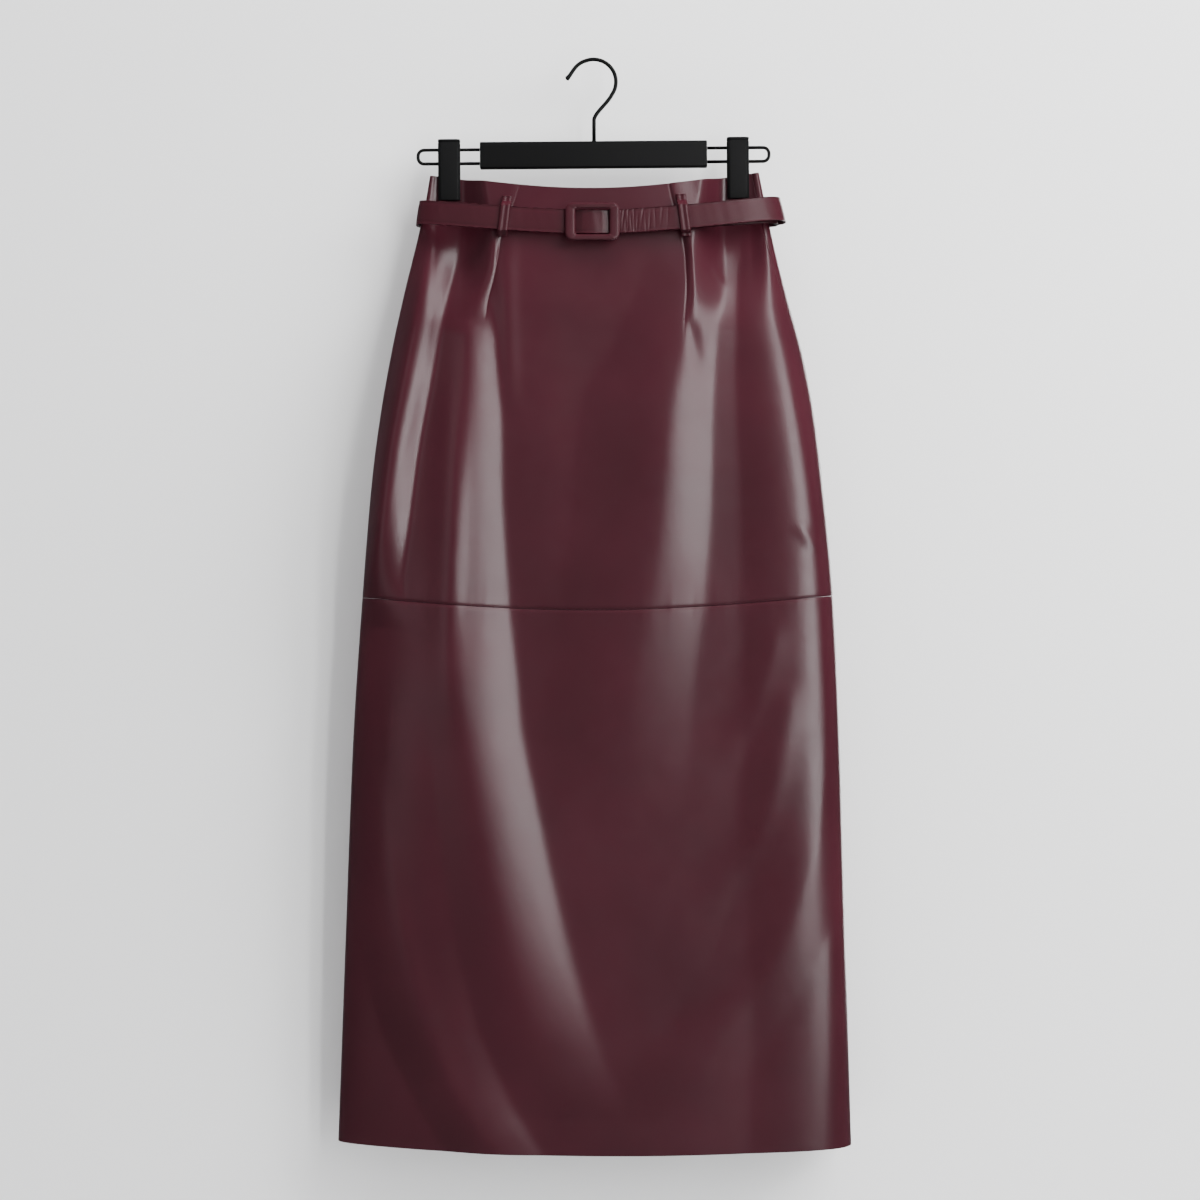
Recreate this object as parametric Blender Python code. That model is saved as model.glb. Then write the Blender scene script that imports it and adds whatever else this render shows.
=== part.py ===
"""A leather midi skirt with its own covered belt, held by a clip hanger.

Sizes are in millimetres until the objects are made, in metres. X runs along the hanger, the front of the
skirt faces -Y and Z is up. Left and right are as seen from the front. The origin is the inner top of the
hook, where a rod would carry it.
"""

import math
from collections import namedtuple

import bmesh
import bpy
import numpy as np

MM = 0.001
GAP = 0.3  # between neighbouring pieces

# Skirt
WALL = 1.4  # garment leather with its bonded backing
SKIRT_X = 3.0  # the skirt hangs a little off the hanger's middle
WAIST_Z = -113.1  # the side ends of the waist edge
SEAM_DOWN = 422.5  # the cross seam, measured down the side
HEM_DOWN = 967.0
DIP_POWER = 1.3  # how fast the waist, seam and hem lines sink towards their middle
POINTS_ROUND = 1440  # points worked out round one level
UPPER_ROWS, LOWER_ROWS = 20, 12  # the same in front and behind, so that the side seams match

# Clips
CLIP_X = 144.3
CLIP_TOP, CLIP_BOTTOM = -77.4, -138.6
CLIP_WIDTH = 22.0
CLIP_CHAMFER = 2.8
JAW_INNER, JAW_OUTER = 2.0, 7.0  # the faces of each jaw, from the middle of the hanger
GRIP_DOWN = 27.0  # how far the jaws reach over the waist
CLIP_MARGIN = 1.0  # cloth held flat beyond each side of the jaws
PINCH_REACH = 130.0  # how far below the jaws the cloth is still drawn flat
PINCH_OUTER, PINCH_OUTER_SPREAD = 9.0, 0.35  # and how far to each side, at the waist and per mm below it
PINCH_INNER, PINCH_INNER_SPREAD = 26.0, 0.16

# Belt
STRAP_WIDTH = 24.0
STRAP_THICK = 2.0
STRAP_STEP, BUCKLE_STEP = 7.0, 3.0  # between its cross sections, round the waist and at the buckle
FIXED_END = -5.0  # the end that is sewn round the buckle's bar, along the strap from the middle
TAIL_LENGTH = 262.0  # the free end, from the middle of the buckle
BELT_MIDDLE_Z, BELT_LEFT_Z, BELT_RIGHT_Z = -165.0, -152.7, -149.3
BELT_SAG_POWER = 1.5
SIDE_TURN = 16.0  # the depth over which it turns each side
UNDER_LAYER_DROP = 2.5  # the layer under the free end hangs a little lower at the right
UNDER_START, UNDER_EASE, UNDER_END, UNDER_END_EASE = 80.0, 100.0, 260.0, 60.0  # from here to here along it
FINE_BEFORE_BUCKLE, FINE_PAST_BUCKLE = 37.0, 32.0  # where its cross sections are closer together

# Buckle
BUCKLE_X = -1.0
BUCKLE_WIDTH, BUCKLE_HEIGHT, BUCKLE_THICK = 53.5, 37.0, 4.5
WINDOW_WIDTH, WINDOW_HEIGHT = 34.0, 25.6
BUCKLE_CORNER, WINDOW_CORNER = 7.0, 2.5
BUCKLE_BACK_Y = -36.9
BUCKLE_SQUARENESS = 0.6  # of its cross section: 1 is round
BAR_RADIUS = 1.1
BAR_Y = -35.4

# Belt loops
LOOP_WIDTH = 10.0
LOOP_THICK = 1.5
LOOP_CLEAR = 0.8  # off the cloth at its ends
LOOP_OVER_STRAP, LOOP_TURN = 1.2, 4.5  # it stays full out so far past the strap's edges, then turns in

# Concealed zip
ZIP_LENGTH = 200.0
TAPE_WIDTH, TAPE_THICK = 24.0, 0.8
PULL_WIDTH, PULL_THICK = 5.0, 1.6
PULL_TOP, PULL_BOTTOM = 6.0, 22.0

# Hanger
HANGER_TILT = math.radians(-0.45)  # its right end is a little higher
BAR_LENGTH, BAR_HEIGHT, BAR_DEPTH = 227.0, 26.5, 12.0
BAR_Z = -93.6
FRAME_WIRE_RADIUS = 1.7
FRAME_DROP = 0.8  # the frame's middle lies this far below the bar's
FRAME_HALF_LENGTH, FRAME_HALF_HEIGHT, FRAME_CORNER = 175.4, 6.9, 6.0
HOOK_WIRE_RADIUS = 2.0
HOOK_RADIUS = 22.4

# The skirt's cross sections: half widths, depths before and behind the middle plane, how square the oval is,
# how far the middle of the level sinks and how much higher its right end is than its left.
Section = namedtuple("Section", "down left right front back square dip tilt")
SECTIONS = (
    Section(0, 166.5, 162.5, 24, 18, 2.2, 16.5, 3),
    Section(30, 171.5, 168.5, 27, 20, 2.4, 16, 3),
    Section(60, 178, 174.5, 30, 22.5, 2.6, 15.5, 3),
    Section(120, 192.5, 189, 39, 26, 3.1, 15, 3),
    Section(180, 205, 205, 44, 27.5, 3.7, 14.5, 2.5),
    Section(240, 215.3, 216.5, 47, 28, 4.2, 14, 2.5),
    Section(300, 223, 224, 48, 28, 4.6, 13.5, 2),
    Section(422.5, 233, 235.5, 48, 28, 5, 12.8, 2),
    Section(560, 242, 242, 46, 28, 4.9, 11, 0),
    Section(760, 250, 248, 42, 27, 4.2, 9.5, -1.5),
    Section(967, 258, 254.5, 37, 26, 2.8, 8, -4),
)

# How far in front of the side fold the right side seam runs.
SeamTurn = namedtuple("SeamTurn", "down forward")
RIGHT_SEAM = (
    SeamTurn(0, 12),
    SeamTurn(120, 18),
    SeamTurn(260, 14),
    SeamTurn(422, 6),
    SeamTurn(520, 0),
    SeamTurn(967, 0),
)

# Each fold is a rounded ridge: its crest, how wide it rises on the left and falls on the right, and its
# height.
Fold = namedtuple("Fold", "down crest rise fall height")
FRONT_FOLDS = {
    "left_side": (
        Fold(30, -156, 12, 22, 0),
        Fold(60, -161, 12, 24, 8),
        Fold(125, -176, 14, 27, 13),
        Fold(205, -191, 14, 28, 15),
        Fold(275, -204, 13, 28, 16),
        Fold(345, -213, 12, 28, 15),
        Fold(395, -219, 12, 28, 10),
        Fold(450, -223, 14, 40, 0),
    ),
    "left_pleat": (
        Fold(90, -126, 26, 24, 0),
        Fold(125, -128, 30, 24, 3),
        Fold(160, -128, 36, 28, 7),
        Fold(225, -129, 42, 34, 8.5),
        Fold(325, -133, 60, 40, 9.5),
        Fold(430, -134, 80, 48, 11),
        Fold(520, -134, 80, 56, 12.5),
        Fold(630, -118, 80, 60, 12),
        Fold(730, -98, 80, 62, 10.5),
        Fold(830, -70, 80, 62, 7),
        Fold(930, -34, 80, 60, 0),
    ),
    "left_hem": (
        Fold(480, -212, 30, 40, 0),
        Fold(600, -206, 34, 44, 5),
        Fold(720, -196, 40, 48, 7),
        Fold(830, -172, 44, 50, 7.5),
        Fold(920, -132, 44, 50, 6.5),
        Fold(967, -104, 44, 50, 5),
    ),
    "right_pleat": (
        Fold(60, 100, 40, 30, 0),
        Fold(150, 84, 60, 34, 4),
        Fold(225, 70, 80, 42, 8),
        Fold(325, 62, 80, 48, 8),
        Fold(400, 52, 80, 54, 6.5),
        Fold(480, 38, 80, 58, 4.5),
        Fold(640, 24, 80, 60, 0),
    ),
    "right_side": (
        Fold(20, 158, 12, 8, 0),
        Fold(60, 166, 20, 12, 3),
        Fold(125, 176, 34, 16, 6),
        Fold(225, 194, 52, 18, 9),
        Fold(325, 211, 64, 18, 10),
        Fold(430, 221, 72, 18, 9),
        Fold(560, 226, 76, 20, 8),
        Fold(660, 216, 70, 28, 5),
        Fold(740, 190, 60, 40, 3.5),
        Fold(820, 146, 60, 46, 2.6),
        Fold(880, 100, 60, 46, 1.6),
        Fold(930, 60, 60, 40, 0),
    ),
    "right_hem": (
        Fold(560, 234, 90, 14, 0),
        Fold(700, 239, 84, 12, 7),
        Fold(830, 243, 84, 11, 8.5),
        Fold(967, 246, 90, 11, 9),
    ),
}
BACK_FOLDS = {
    "left": (
        Fold(90, -100, 30, 40, 0),
        Fold(230, -112, 50, 50, 3),
        Fold(500, -120, 60, 60, 3),
        Fold(900, -90, 60, 60, 0),
    ),
    "right": (
        Fold(90, 104, 40, 30, 0),
        Fold(260, 122, 50, 40, 3.5),
        Fold(600, 128, 60, 60, 3),
        Fold(940, 100, 60, 60, 0),
    ),
}
FOLD_POWER, CREST_SOFTNESS, FOOT_SOFTNESS = 1.35, 0.16, 0.12
FOLDS_FULL_DEPTH = 0.75  # the folds fade out where the oval is shallower than this part of its depth
PINCH_POWER = 3  # and close to the clips

# The stitched tucks: the cloth beside each line rolls over towards the middle, higher by the lap.
Tuck = namedtuple("Tuck", "down line roll lap")
TUCKS = {
    "left": (
        Tuck(0, -83, 12, 1.2),
        Tuck(60, -94, 14, 2.6),
        Tuck(85, -98, 14, 2.8),
        Tuck(120, -106, 14, 1.6),
        Tuck(138, -108, 14, 0),
    ),
    "right": (
        Tuck(0, 77, 12, 2.0),
        Tuck(60, 88, 14, 2.2),
        Tuck(100, 93, 14, 1.8),
        Tuck(138, 91, 14, 0),
    ),
}
TUCK_STEP = 1.8  # the width of the drop at the line

# The strap's plan: an oval round the waist, and how far the free end lifts off it, from the buckle's middle.
BeltOval = namedtuple("BeltOval", "left right front back square")
BELT_OVAL = BeltOval(177.5, 177.5, 33, 25, 4)
Lift = namedtuple("Lift", "along lift")
FREE_END_LIFT = (
    Lift(-70, 0),
    Lift(-32, 2.2),
    Lift(-18, 2.4),
    Lift(-9, 4.4),
    Lift(0, 5.0),
    Lift(9, 4.4),
    Lift(18, 2.4),
    Lift(100, 2.4),
    Lift(160, 4),
    Lift(200, 8),
    Lift(235, 5),
    Lift(262, 2.5),
)
LEAN_LEFT, LEAN_RIGHT, LEAN_FRONT = 3.5, 6.0, 0.4  # how much further out the strap's lower edge lies

# The belt loops: the height of each end, and where it sits at its top and foot.
BeltLoop = namedtuple("BeltLoop", "name top_x foot_x top_z foot_z side layers")
BELT_LOOPS = (
    BeltLoop("belt_loop_front_left", -85.5, -90.5, -137.5, -178.5, -1, 1),
    BeltLoop("belt_loop_front_right", 86.5, 92.0, -136.0, -179.0, -1, 2),
    BeltLoop("belt_loop_back_left", -88.0, -90.0, -131.0, -171.0, 1, 1),
    BeltLoop("belt_loop_back_right", 88.0, 90.0, -129.0, -169.0, 1, 1),
)

Finish = namedtuple("Finish", "colour roughness metallic")
BURGUNDY = Finish((0.045, 0.007, 0.012), 0.30, 0.0)
MATTE_BLACK = Finish((0.004, 0.004, 0.004), 0.50, 0.0)
BLACK_WIRE = Finish((0.004, 0.004, 0.004), 0.40, 0.0)
DARK_TAPE = Finish((0.030, 0.008, 0.012), 0.80, 0.0)


# Curves through tables


def through(places, values, at):
    """A smooth curve through the points, with no overshoot, level past its ends."""
    places = np.asarray(places, float)
    values = np.asarray(values, float)
    at = np.clip(at, places[0], places[-1])
    step = np.diff(places)
    slope = np.diff(values) / step
    before, after = slope[:-1], slope[1:]
    turning = before * after <= 0
    weight = (2 * step[1:] + step[:-1]) / np.where(turning, 1, before)
    weight = weight + (step[1:] + 2 * step[:-1]) / np.where(turning, 1, after)
    inner = np.where(turning, 0, 3 * (step[:-1] + step[1:]) / np.where(turning, 1, weight))
    tangent = np.concatenate([[slope[0]], inner, [slope[-1]]])
    i = np.clip(np.searchsorted(places, at, side="right") - 1, 0, len(places) - 2)
    t = (at - places[i]) / step[i]
    start = (1 + 2 * t) * (1 - t) ** 2 * values[i] + t * (1 - t) ** 2 * step[i] * tangent[i]
    end = t * t * (3 - 2 * t) * values[i + 1] + t * t * (t - 1) * step[i] * tangent[i + 1]
    return start + end


def read(table, column, at):
    """One column of a table at a place given by the table's first column."""
    return through([row[0] for row in table], [getattr(row, column) for row in table], at)


def ease(t):
    """0 to 1 with level ends."""
    t = np.clip(t, 0, 1)
    return t * t * (3 - 2 * t)


# The skirt's surface


def oval(left, right, front, back, square):
    """A squared oval in plan, from its left end along the front to its right end and back along the rear."""
    angle = np.linspace(0, 2 * math.pi, POINTS_ROUND, endpoint=False)
    cos, sin = -np.cos(angle), -np.sin(angle)
    reach = (np.abs(cos) ** square + np.abs(sin) ** square) ** (-1 / square)
    x = reach * cos * np.where(cos < 0, left, right)
    y = reach * sin * np.where(sin < 0, front, back)
    return x, y


def ridge(u):
    """A rounded ridge of height 1 at u = 0, with soft feet near u = -1 and 1."""
    bow = 1 + CREST_SOFTNESS**FOLD_POWER - (u * u + CREST_SOFTNESS**2) ** (FOLD_POWER / 2)
    return 0.5 * (bow + np.sqrt(bow * bow + FOOT_SOFTNESS**2))


def fold_height(folds, x, down):
    total = np.zeros_like(x)
    for rows in folds.values():
        offset = x - read(rows, "crest", down)
        width = np.where(offset < 0, read(rows, "rise", down), read(rows, "fall", down))
        total += read(rows, "height", down) * ridge(offset / width)
    return total


def tuck_height(x, down):
    """The roll of cloth beside each stitched line. It drops at once on the side of the middle."""
    total = np.zeros_like(x)
    for name, towards_side in (("left", -1), ("right", 1)):
        rows = TUCKS[name]
        beside = (x - read(rows, "line", down)) * towards_side
        rolled = 1 - ease(beside / read(rows, "roll", down))
        dropped = np.clip(1 + beside / TUCK_STEP, 0, 1)
        total += read(rows, "lap", down) * np.where(beside > 0, rolled, dropped)
    return total


def pinch(x, down):
    """How far the two clips draw the front and the back together, from 0 to 1."""
    total = np.zeros_like(x)
    for clip_x in (-CLIP_X, CLIP_X):
        offset = x + SKIRT_X - clip_x
        outward = offset * np.sign(clip_x) > 0
        outer_spread = PINCH_OUTER + PINCH_OUTER_SPREAD * down
        inner_spread = PINCH_INNER + PINCH_INNER_SPREAD * down
        spread = np.where(outward, outer_spread, inner_spread)
        beside = 1 - ease((np.abs(offset) - CLIP_WIDTH / 2 - CLIP_MARGIN) / spread)
        below = 1 - ease((down - GRIP_DOWN) / PINCH_REACH)
        total = np.maximum(total, beside * below)
    return total


Level = namedtuple("Level", "down x y normal_x normal_y along")


def level(down):
    """The skirt's outer face at one level, going round from the left side fold."""
    left, right = read(SECTIONS, "left", down), read(SECTIONS, "right", down)
    front, back = read(SECTIONS, "front", down), read(SECTIONS, "back", down)
    x, y = oval(left, right, front, back, read(SECTIONS, "square", down))
    drawn = pinch(x, down)
    rest = WALL + GAP / 2
    depth = np.abs(y)
    in_front = y < 0
    flat_depth = FOLDS_FULL_DEPTH * np.where(in_front, front, back)
    open_cloth = ease(depth / flat_depth) * (1 - drawn**PINCH_POWER)
    depth = np.where(depth > rest, rest + (depth - rest) * (1 - drawn), depth)
    shaped = fold_height(FRONT_FOLDS, x, down) * open_cloth + tuck_height(x, down) * (1 - drawn**PINCH_POWER)
    depth = depth + np.where(in_front, shaped, fold_height(BACK_FOLDS, x, down) * open_cloth)
    y = depth * np.where(in_front, -1, 1)
    ahead_x, ahead_y = np.roll(x, -2) - np.roll(x, 2), np.roll(y, -2) - np.roll(y, 2)
    length = np.hypot(ahead_x, ahead_y)
    along = np.concatenate([[0], np.cumsum(np.hypot(np.diff(x), np.diff(y)))])
    return Level(down, x, y, ahead_y / length, -ahead_x / length, along)


def height_at(x, down):
    """The height of the skirt's surface at x, on the level `down`."""
    half = np.where(x < 0, read(SECTIONS, "left", down), read(SECTIONS, "right", down))
    across = np.clip(np.abs(x / half), 0, 1)
    sunk = read(SECTIONS, "dip", down) * (1 - across**2) ** DIP_POWER
    return WAIST_Z - down - sunk + read(SECTIONS, "tilt", down) / 2 * x / half


def points_at(ring, along, outward):
    """Points of a level at distances along it, moved outward by so much."""
    x = np.interp(along, ring.along, ring.x)
    y = np.interp(along, ring.along, ring.y)
    z = height_at(x, ring.down)
    x = x + outward * np.interp(along, ring.along, ring.normal_x)
    y = y + outward * np.interp(along, ring.along, ring.normal_y)
    return np.stack([x + SKIRT_X, y, z], axis=1)


def front_place(ring, x):
    """Where along a level the front crosses x."""
    front = slice(0, POINTS_ROUND // 2 + 1)
    return np.interp(x, ring.x[front], ring.along[front])


def back_place(ring, x):
    """Where along a level the back crosses x."""
    back = slice(POINTS_ROUND // 2, None)
    return np.interp(-x, -ring.x[back], ring.along[back])


def left_seam(ring):
    return 0.0


def right_seam(ring):
    return ring.along[POINTS_ROUND // 2] - read(RIGHT_SEAM, "forward", ring.down)


def evenly(stops, counts):
    """Places between each stop and the next, so many steps in each stretch."""
    places = [stops[0]]
    for start, end, count in zip(stops, stops[1:], counts):
        places.extend(np.linspace(start, end, count + 1)[1:])
    return np.array(places)


def laid(rings, places, outer, inner):
    """Two grids of points on the skirt's levels, `outer` and `inner` millimetres outside its face."""
    outer_grid = [points_at(ring, places(ring), outer) for ring in rings]
    inner_grid = [points_at(ring, places(ring), inner) for ring in rings]
    return outer_grid, inner_grid


# Objects


def material(finish_name, finish):
    made = bpy.data.materials.new(finish_name)
    made.use_nodes = True
    shader = made.node_tree.nodes["Principled BSDF"]
    shader.inputs["Base Color"].default_value = (*finish.colour, 1)
    shader.inputs["Roughness"].default_value = finish.roughness
    shader.inputs["Metallic"].default_value = finish.metallic
    made.diffuse_color = (*finish.colour, 1)
    return made


def mesh_object(name, points, faces, finish):
    mesh = bpy.data.meshes.new(name)
    mesh.from_pydata([tuple(float(c) * MM for c in point) for point in points], [], faces)
    shape = bmesh.new()
    shape.from_mesh(mesh)
    bmesh.ops.recalc_face_normals(shape, faces=shape.faces)
    shape.to_mesh(mesh)
    shape.free()
    mesh.shade_smooth()
    mesh.set_sharp_from_angle(angle=math.radians(40))
    mesh.materials.append(material(name, finish))
    made = bpy.data.objects.new(name, mesh)
    bpy.context.scene.collection.objects.link(made)
    return made


def wall(name, outer, inner, finish):
    """A closed wall between two grids of points of the same shape."""
    outer, inner = np.asarray(outer), np.asarray(inner)
    rows, columns = outer.shape[:2]
    points = np.concatenate([outer.reshape(-1, 3), inner.reshape(-1, 3)])

    def corner(side, row, column):
        return side * rows * columns + row * columns + column

    faces = []
    for side in (0, 1):
        for row in range(rows - 1):
            for column in range(columns - 1):
                ring = [(row, column), (row, column + 1), (row + 1, column + 1), (row + 1, column)]
                faces.append([corner(side, *place) for place in ring])
    rim = [(0, column) for column in range(columns)]
    rim += [(row, columns - 1) for row in range(1, rows)]
    rim += [(rows - 1, column) for column in range(columns - 2, -1, -1)]
    rim += [(row, 0) for row in range(rows - 2, 0, -1)]
    for place, after in zip(rim, rim[1:] + rim[:1]):
        faces.append([corner(0, *place), corner(0, *after), corner(1, *after), corner(1, *place)])
    return mesh_object(name, points, faces, finish)


def prism(name, outline, low, high, finish):
    """An upright solid on a plan outline."""
    count = len(outline)
    points = [(x, y, z) for z in (low, high) for x, y in outline]
    faces = [list(range(count)), list(range(count, 2 * count))]
    for i in range(count):
        after = (i + 1) % count
        faces.append([i, after, count + after, count + i])
    return mesh_object(name, points, faces, finish)


def wire(name, path, radius, sides_level, finish):
    """A round wire along points, with flat ends."""
    curve = bpy.data.curves.new(name, "CURVE")
    curve.dimensions = "3D"
    curve.bevel_depth = radius * MM
    curve.bevel_resolution = sides_level
    curve.use_fill_caps = True
    spline = curve.splines.new("POLY")
    spline.points.add(len(path) - 1)
    for point, place in zip(spline.points, path):
        point.co = (place[0] * MM, place[1] * MM, place[2] * MM, 1)
    curve.materials.append(material(name, finish))
    made = bpy.data.objects.new(name, curve)
    bpy.context.scene.collection.objects.link(made)
    return made


def arc(centre_x, centre_z, radius, start, end, count):
    """Points of an arc in the plane of the hanger, from one angle to another in degrees."""
    angles = np.radians(np.linspace(start, end, count))
    return [(centre_x + radius * math.cos(a), 0.0, centre_z + radius * math.sin(a)) for a in angles]


def bend(start, pull_start, pull_end, end, count):
    """Points of a soft bend in the plane of the hanger, steered by two pulls."""
    t = np.linspace(0, 1, count)[:, None]
    start, pull_start, pull_end, end = (np.array(p, float) for p in (start, pull_start, pull_end, end))
    curve = (1 - t) ** 3 * start + 3 * t * (1 - t) ** 2 * pull_start
    curve = curve + 3 * t * t * (1 - t) * pull_end + t**3 * end
    return [(x, 0.0, z) for x, z in curve]


# Skirt panels


def clip_stops(ring, place_on, side):
    """The two columns beside a clip, which fan out with the skirt below it."""
    column = "left" if side < 0 else "right"
    fan = read(SECTIONS, column, max(ring.down, GRIP_DOWN)) / read(SECTIONS, column, GRIP_DOWN)
    middle = side * CLIP_X - SKIRT_X
    reach = CLIP_WIDTH / 2 + CLIP_MARGIN
    return [place_on(ring, fan * (middle + offset)) for offset in (-reach, reach)]


def tuck_stops(ring):
    """The columns that follow the two stitched lines, and the folds that they open into below."""
    left, right = (float(read(TUCKS[name], "line", ring.down)) for name in ("left", "right"))
    return [front_place(ring, x) for x in (left, left + TUCK_STEP, right - TUCK_STEP, right)]


def front_upper_places(ring):
    stops = [left_seam(ring) + GAP / 2, *clip_stops(ring, front_place, -1), *tuck_stops(ring)]
    stops += [*clip_stops(ring, front_place, 1), right_seam(ring) - GAP / 2]
    return evenly(stops, (2, 2, 6, 1, 10, 1, 5, 2, 2))


def front_lower_places(ring):
    return evenly([left_seam(ring) + GAP / 2, right_seam(ring) - GAP / 2], (28,))


def back_right_places(ring):
    clip = clip_stops(ring, back_place, 1)[::-1]
    stops = [right_seam(ring) + GAP / 2, *clip, back_place(ring, 0) - GAP / 2]
    return evenly(stops, (3, 2, 7))


def back_left_places(ring):
    stops = [back_place(ring, 0) + GAP / 2, *clip_stops(ring, back_place, -1)[::-1], ring.along[-1] - GAP / 2]
    return evenly(stops, (7, 2, 3))


def back_lower_places(ring):
    return evenly([right_seam(ring) + GAP / 2, ring.along[-1] - GAP / 2], (24,))


def levels_between(top, bottom, count, crowding):
    """Levels from top to bottom, closer together near the top where crowding is over 1."""
    return [level(top + (bottom - top) * (i / count) ** crowding) for i in range(count + 1)]


def make_panels():
    upper = (0.0, SEAM_DOWN - GAP / 2)
    lower = (SEAM_DOWN + GAP / 2, HEM_DOWN)
    upper_levels = levels_between(*upper, UPPER_ROWS, 1.3)
    lower_levels = levels_between(*lower, LOWER_ROWS, 1)
    wall("front_upper", *laid(upper_levels, front_upper_places, 0, -WALL), BURGUNDY)
    wall("back_upper_left", *laid(upper_levels, back_left_places, 0, -WALL), BURGUNDY)
    wall("back_upper_right", *laid(upper_levels, back_right_places, 0, -WALL), BURGUNDY)
    wall("front_lower", *laid(lower_levels, front_lower_places, 0, -WALL), BURGUNDY)
    wall("back_lower", *laid(lower_levels, back_lower_places, 0, -WALL), BURGUNDY)


def make_zip():
    """The concealed zip of the centre back: its tape inside the slit, and its pull outside at the top."""

    def across(width):
        return lambda ring: back_place(ring, 0) + np.linspace(-width / 2, width / 2, 3)

    inside = -WALL - GAP
    tape_levels = levels_between(PULL_TOP, ZIP_LENGTH, 8, 1)
    wall("zip_tape", *laid(tape_levels, across(TAPE_WIDTH), inside, inside - TAPE_THICK), DARK_TAPE)
    pull_levels = levels_between(PULL_TOP, PULL_BOTTOM, 2, 1)
    wall("zip_pull", *laid(pull_levels, across(PULL_WIDTH), GAP + PULL_THICK, GAP), BLACK_WIRE)


# Belt


def belt_ring():
    """The oval that the strap follows, in plan from the front's middle to the right, with its normals."""
    x, y = oval(*BELT_OVAL)
    start = POINTS_ROUND // 4
    x, y = np.roll(x, -start), np.roll(y, -start)
    ahead_x, ahead_y = np.roll(x, -1) - np.roll(x, 1), np.roll(y, -1) - np.roll(y, 1)
    length = np.hypot(ahead_x, ahead_y)
    along = np.concatenate([[0], np.cumsum(np.hypot(np.diff(x), np.diff(y)))])
    round_length = along[-1] + math.hypot(x[0] - x[-1], y[0] - y[-1])
    return x, y, ahead_y / length, -ahead_x / length, along, round_length


def belt_height(x, y):
    """The height of the strap's middle: it sags between its ends in front, and runs level behind."""
    end_z = np.where(x < 0, BELT_LEFT_Z, BELT_RIGHT_Z)
    half = np.where(x < 0, BELT_OVAL.left, BELT_OVAL.right)
    sag = np.clip(np.abs(x / half), 0, 1) ** BELT_SAG_POWER
    in_front = BELT_MIDDLE_Z + (end_z - BELT_MIDDLE_Z) * sag
    across = (x + BELT_OVAL.left) / (BELT_OVAL.left + BELT_OVAL.right)
    behind = BELT_LEFT_Z + (BELT_RIGHT_Z - BELT_LEFT_Z) * across
    return in_front + (behind - in_front) * ease((y + SIDE_TURN / 2) / SIDE_TURN)


def make_strap():
    """One strap from the end sewn round the buckle's bar, once round the waist, through the buckle and on to
    the free end, which lies on the first layer and turns the right side again."""
    ring_x, ring_y, normal_x, normal_y, ring_along, round_length = belt_ring()
    near_buckle = (round_length - FINE_BEFORE_BUCKLE, round_length + FINE_PAST_BUCKLE)
    stops = (FIXED_END, *near_buckle, round_length + TAIL_LENGTH)
    steps = (STRAP_STEP, BUCKLE_STEP, STRAP_STEP)
    along = evenly(stops, [round((b - a) / step) for a, b, step in zip(stops, stops[1:], steps)])
    place = np.mod(along, round_length)
    x, y = np.interp(place, ring_along, ring_x), np.interp(place, ring_along, ring_y)
    out_x, out_y = np.interp(place, ring_along, normal_x), np.interp(place, ring_along, normal_y)
    past_buckle = along - round_length - (BUCKLE_X - SKIRT_X)
    lift = np.where(along > round_length / 2, read(FREE_END_LIFT, "lift", past_buckle), 0)
    side_turn = np.abs(out_x)
    lean = LEAN_FRONT + side_turn * (np.where(x < 0, LEAN_LEFT, LEAN_RIGHT) - LEAN_FRONT)
    drop = ease((along - UNDER_START) / UNDER_EASE) * ease((UNDER_END - along) / UNDER_END_EASE)
    z = belt_height(x, y) - UNDER_LAYER_DROP * drop * (along < round_length / 2)
    faces = []
    for outward in (STRAP_THICK / 2, -STRAP_THICK / 2):
        rows = []
        for upward in (1, -1):
            out = lift + outward - upward * lean / 2
            edge = (x + out * out_x + SKIRT_X, y + out * out_y, z + upward * STRAP_WIDTH / 2)
            rows.append(np.stack(edge, axis=1))
        faces.append(rows)
    wall("belt_strap", *faces, BURGUNDY)


def rounded_rectangle(width, height, corner, per_corner):
    """Points round a rectangle with arcs for corners, as (across, up)."""
    points = []
    for quarter in range(4):
        sign_x, sign_z = ((1, 1), (-1, 1), (-1, -1), (1, -1))[quarter]
        centre_x, centre_z = sign_x * (width / 2 - corner), sign_z * (height / 2 - corner)
        for i in range(per_corner + 1):
            angle = math.pi / 2 * (quarter + i / per_corner)
            points.append((centre_x + corner * math.cos(angle), centre_z + corner * math.sin(angle)))
    return points


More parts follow.
